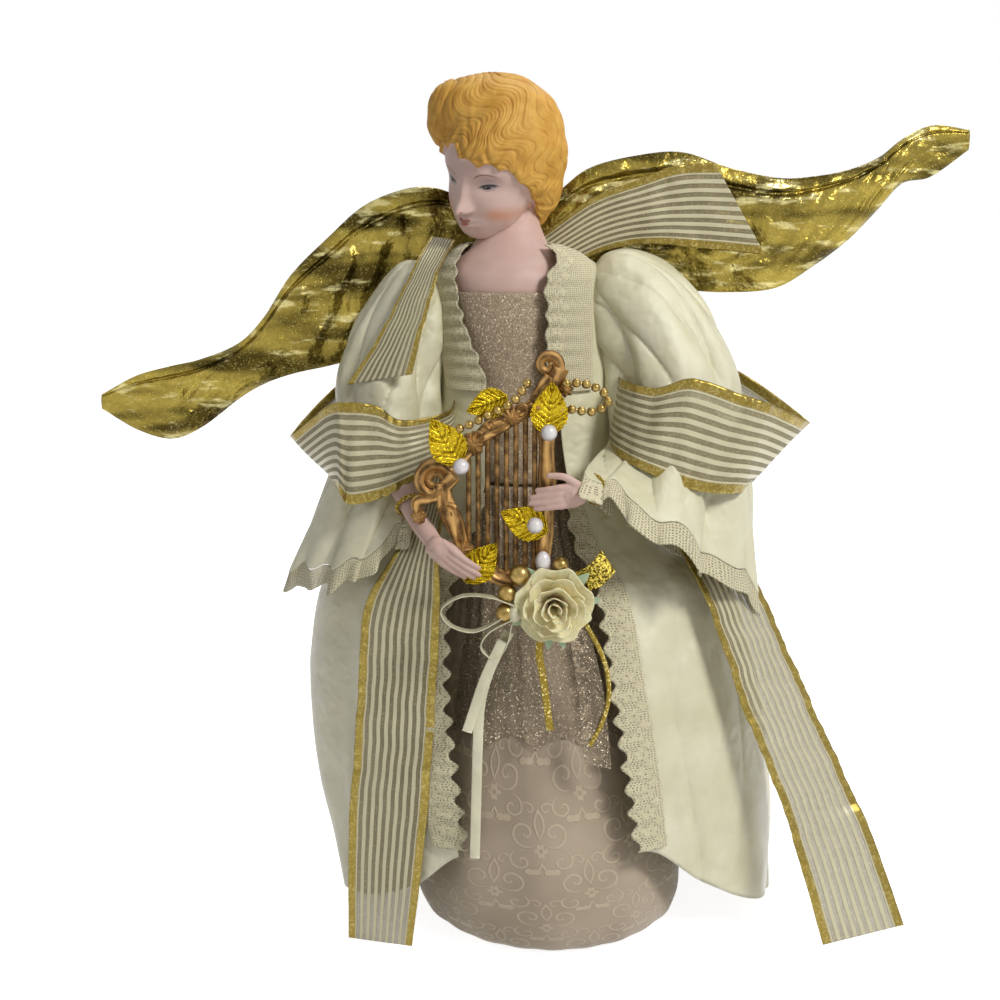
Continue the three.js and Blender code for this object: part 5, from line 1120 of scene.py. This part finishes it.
# Ribbon bow: sheer wired ribbon with narrow satin stripes and gold metal edges. It is tied at the back,
# with a loop round each sleeve, a short end over each shoulder and a long tail on each side.
ribbon_width, stripe_pitch = 38, 3.8
ribbon_rows = {
    "ribbon_loop_right": [
        (0, -10, 39, 238, -10, 39, 250), (0.07, 6, 41, 233, 6, 41, 254), (0.16, 34, 30, 222, 38, 32, 260),
        (0.27, 68, 24, 215, 80, 22, 257), (0.37, 87.5, 3, 204, 115.5, 2, 234),
        (0.46, 77, -44, 209.7, 94, -34, 245.9), (0.54, 61.9, -52, 211.9, 79.6, -41, 251.5),
        (0.62, 48.5, -54, 215.8, 57.7, -43, 258.8), (0.7, 33, -50, 222.4, 42, -40, 254.5),
        (0.78, 24.5, -34, 226, 29, -26, 256), (0.87, 23, 6, 226, 26, 8, 256),
        (0.95, 4, 35.5, 236, 4, 35.5, 252), (1, -10, 36, 238, -10, 36, 250)],
    "ribbon_loop_left": [
        (0, -22, 39, 238, -22, 39, 250), (0.07, -38, 40, 233, -38, 40, 254),
        (0.16, -62, 31, 222, -64, 32, 258), (0.27, -86, 21, 213, -96, 20, 250),
        (0.37, -98, 1, 205.8, -118.8, 0, 227.5),
        (0.46, -92.7, -42, 210.6, -98.3, -36, 245.9), (0.54, -88.5, -48, 205.7, -88, -43, 248.8),
        (0.62, -75, -50, 208.5, -76.5, -43, 247.2), (0.7, -63.5, -46, 214.1, -65.5, -39, 240.5),
        (0.78, -47, -30, 221, -46, -26, 243), (0.87, -45.5, 6, 224, -44.5, 8, 250),
        (0.95, -34, 35, 236, -34, 35, 252), (1, -22, 36, 238, -22, 36, 250)],
    "ribbon_end_right": [
        (0, 2.6, 16.6, 300, -6, 20, 316), (0.15, 24, 18, 309, 16, 18, 332), (0.4, 44, 17, 312, 38.9, 17, 341),
        (0.7, 70, 17, 310, 55, 17, 347), (1, 96.2, 17, 307.4, 72.3, 17, 348.1)],
    "ribbon_end_left": [
        (0, -55, 8, 316, -44, 9, 314.5), (0.3, -62, -17, 303, -50, -22, 302),
        (0.6, -74, -26, 278.5, -55.5, -31, 284), (1, -90.2, -27, 254, -61.6, -34.5, 259.6)],
    "ribbon_tail_right": [
        (0, 36, -24, 214, 54, -6, 206), (0.14, 60.5, -40, 172.5, 84, -22, 176),
        (0.32, 72.7, -45, 143, 101, -27, 143), (0.48, 82.3, -47, 115, 114, -30, 115),
        (0.68, 99.4, -50, 74, 132, -34, 77), (0.84, 109, -56, 44, 144, -42, 51),
        (1, 119.7, -60, 7.8, 158, -50, 12.2)],
    "ribbon_tail_left": [
        (0, -60, -20, 212, -44, -31, 216), (0.12, -66.3, -44, 189.6, -49.4, -52, 192),
        (0.27, -82, -48, 162, -49.7, -56, 158), (0.4, -85, -47, 138, -51, -57, 136),
        (0.6, -88, -46, 98, -53.5, -58, 98), (0.8, -91.5, -46, 58, -57, -57, 58),
        (1, -92.7, -46, 4, -63.5, -54, 4)],
}
wired_ribbon, paint, place = new_finish("wired_ribbon", roughness=0.4)
_, across, _ = split(cloth_place(place))
off_middle = across - ribbon_width / 2
edge = spread(ribbon_width / 2 - abs(off_middle), 3.6, 4.2, 1, 0)
stripe = spread(calc("COSINE", off_middle * (2 * math.pi / stripe_pitch)), -0.15, 0.2) * (1 - edge)
twill = node("ShaderNodeTexChecker", cloth_place(place), Scale=2.6, out="Fac")
fleck = glitter(place, 1500, 0.6, 0.95)
shade = mix(stripe, mix(fleck, "A09470", "BAAF8A"), "DAD2AE")
cover = most(edge, stripe)
paint(base_color=mix(edge, shade, mix(fleck * 0.4, "8C7834", "D6C888")),
      metallic=spread(edge, 0, 1, 0.12, 0.85), roughness=spread(cover, 0, 1, 0.55, 0.32),
      alpha=spread(cover, 0, 1, 0.62, 1), relief=(stripe * 0.5 + (edge * 0.6 + twill * 0.25), 0.9, 0.5))


def ribbon_point(rows):
    """Straight lines from one edge to the other, with slow waves along the ribbon and a wired edge's kinks."""
    length = length_of(np.array([np.add(row[1:4], row[4:7]) / 2 for row in rows]))

    def point(u, v):
        values = blend_rows(rows, u)
        low, high = values[..., :3], values[..., 3:]
        place = low + (high - low) * v[..., None]
        way = unit(np.gradient(place, axis=0))
        out = unit(np.cross(way, unit(high - low)))
        ease = np.sin(math.pi * np.clip(u, 0, 1))
        wave = 0.5 * np.sin(u * length * 0.16 + 4 * v) + 0.3 * np.sin(u * length * 0.37 - 3 * v + 1)
        kink = 0.25 * np.sin(u * length * 0.8) * np.abs(2 * v - 1) ** 3
        return place + out * ((wave + kink) * ease)[..., None]
    return point, length


for name, rows in ribbon_rows.items():
    point, length = ribbon_point(rows)
    strip = cloth(f"{name}_strip", point, max(int(length * 1.3), 60), 40, 0.2, size=(length, ribbon_width))
    hang(strip, wired_ribbon, name)


def knot_point(u, v):
    """A pulled knot: an egg of cloth with creases that run round it."""
    angle, polar_angle = 2 * math.pi * u, math.pi * v
    crease = 1 + 0.07 * np.sin(10 * polar_angle + 1.5 * np.sin(2 * angle)) + 0.04 * np.sin(6 * angle)
    return np.stack([-16 + 9 * crease * np.sin(polar_angle) * np.cos(angle),
                     40.5 + 7 * crease * np.sin(polar_angle) * np.sin(angle),
                     244 - 10 * np.cos(polar_angle)], -1)


knot = shell("ribbon_knot_wrap", lambda u, v: knot_point(u, 0.01 + 0.98 * v), 80, 60)
wear_finish(knot, wired_ribbon, "ribbon_knot")

# Harp: one casting in antiqued bronze paint: a carved neck, a pillar, a volute with a hook, a foot,
# rosettes where they meet, and eight strings cast between. The wrists are tied to it.
bronze, paint, place = new_finish("antique_bronze", roughness=0.42, metallic=0.7)
hollow = node("ShaderNodeNewGeometry", tree=place.tree, out="Pointiness")
patina = spread(hollow, 0.44, 0.54) + spread(noise(place, 220, 3), 0.3, 0.7, -0.25, 0.25)
shade = mix(spread(patina, 0.05, 0.55), "523A1A", "B08850")
paint(base_color=mix(spread(patina, 0.7, 1.1), shade, "D2A764"), roughness=spread(patina, 0, 1, 0.62, 0.36),
      relief=(noise(place, 600, 3), 0.35, 0.5))
harp_plane, harp_bar, harp_string = -62.0, 3.5, 1.1
harp_curves = {
    "neck": [(-2.6, 262), (-9.5, 250.5), (-19.1, 245.5), (-28.1, 240), (-36.4, 232.5), (-44.5, 224)],
    "foot": [(-39.8, 190), (-32.4, 182), (-21.9, 177), (-6, 178.5)],
    "pillar": [(0.5, 266), (-2.6, 257), (-4.6, 240), (-4.4, 211), (-6, 178.5), (-2.5, 169)],
    "limb": [(-48, 218), (-46.5, 209), (-42.5, 199), (-39.8, 190)],
    "hook": [(-43, 221), (-51, 212.5), (-58.5, 210), (-58, 203.5)],
}


def on_harp(places, lift=0.0):
    """Places on the harp's plane, given sideways and up, moved forward by lift."""
    places = np.asarray(places, float)
    return np.column_stack([places[:, 0], np.full(len(places), harp_plane - lift), places[:, 1]])


def carved(line, radii, ribs, depth, twist=0.0, sides=40):
    """A bar whose radius swells in ribs round it, which may wind along its length."""
    rows = len(line) - 1
    rings = bar_points(line, 1.0, sides, (0, 1, 0)) - line[None]
    angle = np.arange(sides) * 2 * math.pi / sides
    swell = 1 + depth * np.cos(ribs * angle[:, None] + twist * np.arange(rows + 1)[None])
    return tube("carved", line[None] + rings * (swell * np.broadcast_to(radii, rows + 1))[..., None])


def spiral(middle, outer, turns, start, thick, lift=0.0):
    """A flat scroll: a bar that winds inwards, shrinks to a fifth of its reach and thins as it goes."""
    share = np.linspace(0, 1, int(48 * turns))
    angle = 2 * math.pi * (start + share * turns)
    reach = outer * (1 - 0.8 * share)
    x, z = middle[0] + reach * np.cos(angle), middle[1] + reach * np.sin(angle)
    return carved(on_harp(np.column_stack([x, z]), lift), thick * (1 - 0.45 * share), 4, 0.12, sides=20)


def rosette(middle, reach, rise, petals=8):
    """A carved rosette: a dome whose height ripples with the petals, round a raised button."""
    u, v = grid(96, 32, 0.02)
    angle, polar_angle = 2 * math.pi * u, math.pi * v
    far = reach * np.sin(polar_angle) * (1 + 0.1 * np.cos(petals * angle))
    button = 0.45 * rise * np.exp(-(np.sin(polar_angle) / 0.35) ** 2)
    ripple = 0.22 * rise * np.cos(petals * angle) * np.sin(polar_angle) ** 2
    depth = np.cos(polar_angle) * rise + np.where(polar_angle < math.pi / 2, button + ripple, 0)
    x, z = middle[0] + far * np.cos(angle), middle[1] + far * np.sin(angle)
    return tube("rosette", np.stack([x, harp_plane - depth, z], -1))


def height_on(places, x):
    """The height of a curve of the harp at a sideways place."""
    return blend_rows(sorted(places), x)[..., 0]


parts = []
neck = rail(on_harp(harp_curves["neck"]), 120)
share = np.linspace(0, 1, 121)
parts.append(carved(neck, harp_bar * (0.95 + 0.14 * np.sin(share * 14)), 7, 0.12, 0.16))
parts.append(carved(rail(on_harp(harp_curves["foot"]), 80), harp_bar * 0.95, 6, 0.12, 0.12))
pillar = rail(on_harp(harp_curves["pillar"]), 160)
parts.append(carved(pillar, harp_bar * (0.92 + 0.1 * np.cos(np.linspace(0, 26, 161))), 6, 0.1))
limb = rail(on_harp(harp_curves["limb"]), 70)
parts.append(carved(limb, harp_bar * (0.85 + 0.25 * np.sin(np.linspace(0, math.pi, 71)) ** 2), 5, 0.16, 0.1))
hook = rail(on_harp(harp_curves["hook"]), 70)
parts.append(carved(hook, harp_bar * np.linspace(0.85, 0.55, 71), 5, 0.14, 0.08))
parts.append(spiral((-4.4, 267), 4.7, 1.35, -0.05, 2.2))
parts.append(spiral((-51, 218.5), 8.0, 1.7, 0.08, 2.4))
for middle, reach, turns, start in (((-15.5, 248.6), 4.2, 1.2, 0.55), ((-25.5, 243.5), 4.4, 1.2, 0.5),
                                    ((-9.3, 253.4), 3.4, 1.1, 0.6), ((-33.2, 238), 3.6, 1.1, 0.45),
                                    ((-45.6, 205.5), 3.8, 1.1, 0.1), ((-30.5, 181.5), 3.6, 1.1, 0.8)):
    parts.append(spiral(middle, reach, turns, start, 1.15, 2.6))
for middle, size in (((-19.5, 246), 1.25), ((-35, 234.5), 1.35), ((-39.8, 190), 1.35), ((2.6, 257.2), 0.95),
                     ((-57.8, 203.8), 0.9), ((-8.5, 250), 1.15)):
    parts.append(rosette(middle, harp_bar * size, harp_bar * size * 0.95))
for x in np.linspace(-37, -9.6, 8):
    low, high = float(height_on(harp_curves["foot"], x)), float(height_on(harp_curves["neck"], x))
    string = rail(on_harp([(x, low), (x, (low + high) / 2), (x, high)]), 24)
    parts.append(bar("string", string, harp_string, 12, flat=1.1))
harp = wear_finish(join("cast_harp", parts), bronze, "harp")
harp.data.polygons.foreach_set("use_smooth", np.ones(len(harp.data.polygons), bool))

# Leaves: bright metal foil, pressed with veins and cut with a saw edge. Each is slightly cupped and wired
# to the harp's front by its stem.
leaf_length, leaf_half = 22, 7.2
foil, paint, place = new_finish("gold_foil", roughness=0.24, metallic=0.9)
along, across, _ = split(cloth_place(place))
side_way = abs(across - leaf_half)
vein, crinkle = abs(calc("SINE", (along - side_way * 0.9) * 1.25)), noise(place, 900, 3, 0.7)
paint(base_color=mix(spread(crinkle, 0.3, 0.7), "8E7404", "D2B628"),
      relief=(vein * 0.8 + (spread(side_way, 0, 0.7, 1, 0) + crinkle), 0.9, 0.7))
leaf_places = [((-21, 254.5), 200, 0.8), ((-40.5, 226.5), 122, 1), ((-4.8, 238.5), 84, 1),
               ((-4.5, 198), 156, 0.95), ((-38.5, 176.5), 52, 0.95)]
harp_front, seam_gap = harp_plane - harp_bar, 0.33
leaf_gap = 1.58  # how far a leaf's edges stand in front of the harp
for number, (stem, degrees, share) in enumerate(leaf_places, 1):
    turn = math.radians(degrees)

    def leaf_point(u, v):
        """A cupped blade: its half width follows a sine of its length, with saw teeth along the edge."""
        teeth = 1 + 0.11 * (2 * np.abs((u * 11) % 1 - 0.5) - 0.5)
        half = leaf_half * share * (np.sin(math.pi * u ** 0.75) * teeth + 0.06)
        side = 2 * v - 1
        lift = 0.9 * (1 - side * side) + 0.25 * np.sin(34 * (u - 0.35 * np.abs(side))) * np.abs(side) ** 0.5
        x = stem[0] + math.cos(turn) * leaf_length * share * u - math.sin(turn) * half * side
        z = stem[1] + math.sin(turn) * leaf_length * share * u + math.cos(turn) * half * side
        return np.stack([x, harp_front - leaf_gap + lift, z], -1)

    leaf = cloth(f"foil_leaf_{number}", leaf_point, 132, 28, 0.18, size=(leaf_length, 2 * leaf_half))
    wear_finish(leaf, foil, f"leaf_{number}")

# Pearls and berries: four glass pearls, one of them long, and four balls dipped in gold. They sit on short
# wires and are glued between the leaves and the rose.
pearl, paint, place = new_finish("pearl", roughness=0.22, specular_ior_level=0.6, coat_weight=0.4)
facing = node("ShaderNodeLayerWeight", 0.45, tree=place.tree, out="Facing")
paint(base_color=mix(facing, "E6E1DE", "B9AFB4"), relief=(noise(place, 500), 0.08, 0.3))
gold_bead, paint, place = new_finish("gold_bead", roughness=0.3, metallic=0.85)
paint(base_color=mix(spread(noise(place, 400, 3), 0.3, 0.7), "7A6430", "AE9358"),
      relief=(noise(place, 1500), 0.15, 0.2))


def ball(name, middle, half, columns=48, rows=32):
    """An egg-shaped bead, slightly flattened where its wire goes in."""
    def point(u, v):
        angle, polar_angle = 2 * math.pi * u, math.pi * (0.012 + 0.976 * v)
        dent = 1 - 0.03 * np.exp(-((v - 0.02) / 0.05) ** 2)
        return np.stack([middle[0] + half[0] * np.sin(polar_angle) * np.cos(angle),
                         middle[1] + half[1] * np.sin(polar_angle) * np.sin(angle),
                         middle[2] - half[2] * dent * np.cos(polar_angle)], -1)
    return shell(name, point, columns, rows)


pearl_places = {"1": (-39.9, -70.6, 226.3), "2": (-4.1, -70.6, 240.3), "3": (-9.6, -70.6, 201.6),
                "long": (-6.2, -69.2, 186)}
for key, middle in pearl_places.items():
    half = (3.2, 3.2, 4.4) if key == "long" else (3.4, 3.4, 3.4)
    wear_finish(ball(f"glass_pearl_{key}", middle, half), pearl, f"pearl_{key}")
for number, (x, z, size) in enumerate([(-15.7, 180.5, 1.08), (-21, 172.4, 0.97), (-21.8, 164, 1),
                                       (1.2, 184.4, 0.82)], 1):
    radius = 4.2 * size
    middle = (x, harp_front - radius - seam_gap, z)
    piece = ball(f"gold_berry_{number}", middle, (radius, radius, radius * 1.02))
    wear_finish(piece, gold_bead, f"berry_{number}")

# Bead garlands: small gold beads moulded on a thread. One string makes a loop at the harp's top, and the
# other runs down along its neck.
bead_radius = 1.9
garlands = {
    "right": [(3, -64, 259.5), (8, -63, 259.6), (13, -62, 258.5), (18.4, -61, 255.6), (20.5, -61, 251.4),
              (17.2, -61, 248.6), (12.3, -62, 247.6), (6.9, -63, 248.6), (1.5, -65, 249.5)],
    "left": [(-13, -63, 259.5), (-15.5, -66, 256), (-19, -67.5, 252.3), (-24, -68, 249.6), (-29.5, -68, 246.8),
             (-35, -67.5, 243.8), (-40.5, -66, 241.4)],
}
for side, route in garlands.items():
    line = rail(route, 120)
    count = int(length_of(line) / (2.1 * bead_radius))
    parts = [bar("thread", line, 0.45, 8, (0, 1, 0.1))]
    parts += [ball("bead", middle, [bead_radius] * 3, 20, 14) for middle in rail(route, count)]
    wear_finish(join(f"bead_string_{side}", parts), gold_bead, f"bead_garland_{side}")

# Rose: nineteen cut paper petals in five whorls, cupped and curled by hand, and darker gold towards the
# heart. They are glued together over six green sepals.
petal, paint, place = new_finish("rose_petal", roughness=0.8, subsurface_weight=0.15, subsurface_scale=0.002,
                                 sheen_weight=0.3)
_, across, _ = split(cloth_place(place))
streak = noise(place, 500)
shade = mix(spread(streak, 0.3, 0.7), "E8DDA8", "FAF1C8")
paint(base_color=mix(spread(across + streak * 5, 3, 12, 1, 0) * 0.85, shade, "D6A040"),
      relief=(streak + noise(place, 90), 0.4, 0.8))
rose_middle, rose_base = (-1.5, 168.0), harp_front - seam_gap
parts = []


def petal_point(reach, rise, turn, width, curl, seed):
    """A petal: it starts at the heart, opens outwards and forwards, and rolls back at its rim."""
    def point(u, v):
        side = 2 * u - 1
        angle = turn + side * width * (0.45 + 0.55 * np.sqrt(v))
        top = v * (1 - 0.2 * side ** 4 - 0.07 * np.abs(np.sin(4 * side + seed)))
        far = reach * (0.16 + 0.84 * top ** 0.8) * (1 + 0.06 * np.sin(5 * side + seed) * top)
        rolled = np.clip(top - 0.72, 0, 1) ** 1.5
        lift = rise * (0.06 + 0.94 * top ** 1.15) - curl * rolled * 6 * (1 + 0.5 * np.cos(3 * side + seed))
        far = far + curl * np.clip(top - 0.68, 0, 1) * 2.6
        return np.stack([rose_middle[0] + far * np.cos(angle), rose_base - lift - 0.35 * side, rose_middle[1]
                         + far * np.sin(angle)], -1)
    return point


for reach, rise, count, first, width, curl in ((15.5, 8.6, 5, 0.3, 0.86, 1.6), (12.3, 12.5, 5, 0.9, 0.82, 1.1),
                                               (8.8, 15.5, 4, 0.2, 0.95, 0.8), (5.2, 17.2, 3, 1.2, 1.15, 0.5),
                                               (2.7, 17.6, 2, 0.5, 1.5, 0.2)):
    for k in range(count):
        turn = first + 2 * math.pi * k / count
        parts.append(cloth("petal", petal_point(reach, rise, turn, width, curl, k * 1.7 + reach), 36, 30, 0.22,
                           size=(20, 20)))
rose = wear_finish(join("paper_rose", parts), petal, "rose")
rose.data.polygons.foreach_set("use_smooth", np.ones(len(rose.data.polygons), bool))
sepal_green, paint, place = new_finish("sepal_green", roughness=0.8)
paint(base_color=mix(noise(place, 400, 3), "9CC29A", "DDE8C8"))
parts = []
for turn in (0.1, 0.75, -1.35, -1.7, 2.2, 3.6):
    def sepal_point(u, v):
        """A narrow pointed leaf that shows past the rose's rim."""
        side = (2 * u - 1) * 2.6 * np.sin(math.pi * np.clip(0.12 + 0.86 * v, 0, 1)) ** 0.8
        far = 6 + 13.5 * v
        lift = 2.2 + 3.5 * v + 0.06 * side ** 2
        return np.stack([rose_middle[0] + far * math.cos(turn) - side * math.sin(turn), rose_base - lift,
                         rose_middle[1] + far * math.sin(turn) + side * math.cos(turn)], -1)
    parts.append(cloth("sepal", sepal_point, 16, 24, 0.15, size=(5, 14)))
wear_finish(join("rose_sepals", parts), sepal_green)

# Small bow: narrow cream satin ribbon in a long loop and a short one beside the rose. They are pinched
# together under a knot.
bow_plane, bow_half = -71.5, 2.4
bow_loops = [
    [(-18, 168), (-28, 171.5), (-40, 171.8), (-48.5, 166), (-45, 159.5), (-34, 156.8), (-18, 166)],
    [(-19, 160), (-22, 149), (-27, 145.2), (-32, 149.8), (-29, 156), (-19, 162)],
]
parts, bow_area = [], 0
for route in bow_loops:
    line = rail([(x, bow_plane, z) for x, z in route], 90)

    def loop_point(u, v):
        """The ribbon's middle line, carried to the front and to the back by half its width."""
        return line[np.rint(u * 90).astype(int)] + (2 * v - 1)[..., None] * np.array([0, bow_half, 0])

    parts.append(cloth("loop", loop_point, 90, 8, 0.2, size=(120, 2 * bow_half)))
    bow_area += surface_area["loop"]
parts.append(ball("knot", (-18, bow_plane, 164), (3.0, 3.0, 4.0)))
bow = wear_finish(join("bow_loops", parts), satin, "satin_bow")

# Sheer end and gold mesh end: short lengths of sheer gauze and of glittered mesh ribbon, glued behind the
# rose. The sheer one hangs down over the skirt, and the mesh one stands up beside the harp.
gold_mesh, paint, place = new_finish("gold_mesh", roughness=0.38, metallic=0.85)
fleck = glitter(place, 1700, 0.3, 0.95)
paint(base_color=mix(fleck, "4E3C08", "F0D860"), relief=(fleck + noise(place, 1200), 0.9, 0.6))
end_rows = {
    "sheer_tail": (sheer_gauze, "sheer_gauze", [
        (0, 4, -68, 161, 12, -68, 162), (0.5, 9, -66, 128, 20, -66, 128), (1, 12, -66, 96, 24, -66, 93)]),
    "mesh_end": (gold_mesh, "gold_braid", [
        (0, 5, -69, 180, 9, -69, 172), (0.5, 13, -71, 185, 18, -71, 176), (1, 18, -70, 191, 24, -70, 182)]),
}
for name, (finish, slot, rows) in end_rows.items():
    point, length = ribbon_point(rows)
    hang(cloth(f"{name}_strip", point, 60, 20, 0.15), finish, name)

size = {"cad": [list(map(float, corner)) for corner in cad_box],
        "visual": [list(map(float, corner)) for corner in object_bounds()]}
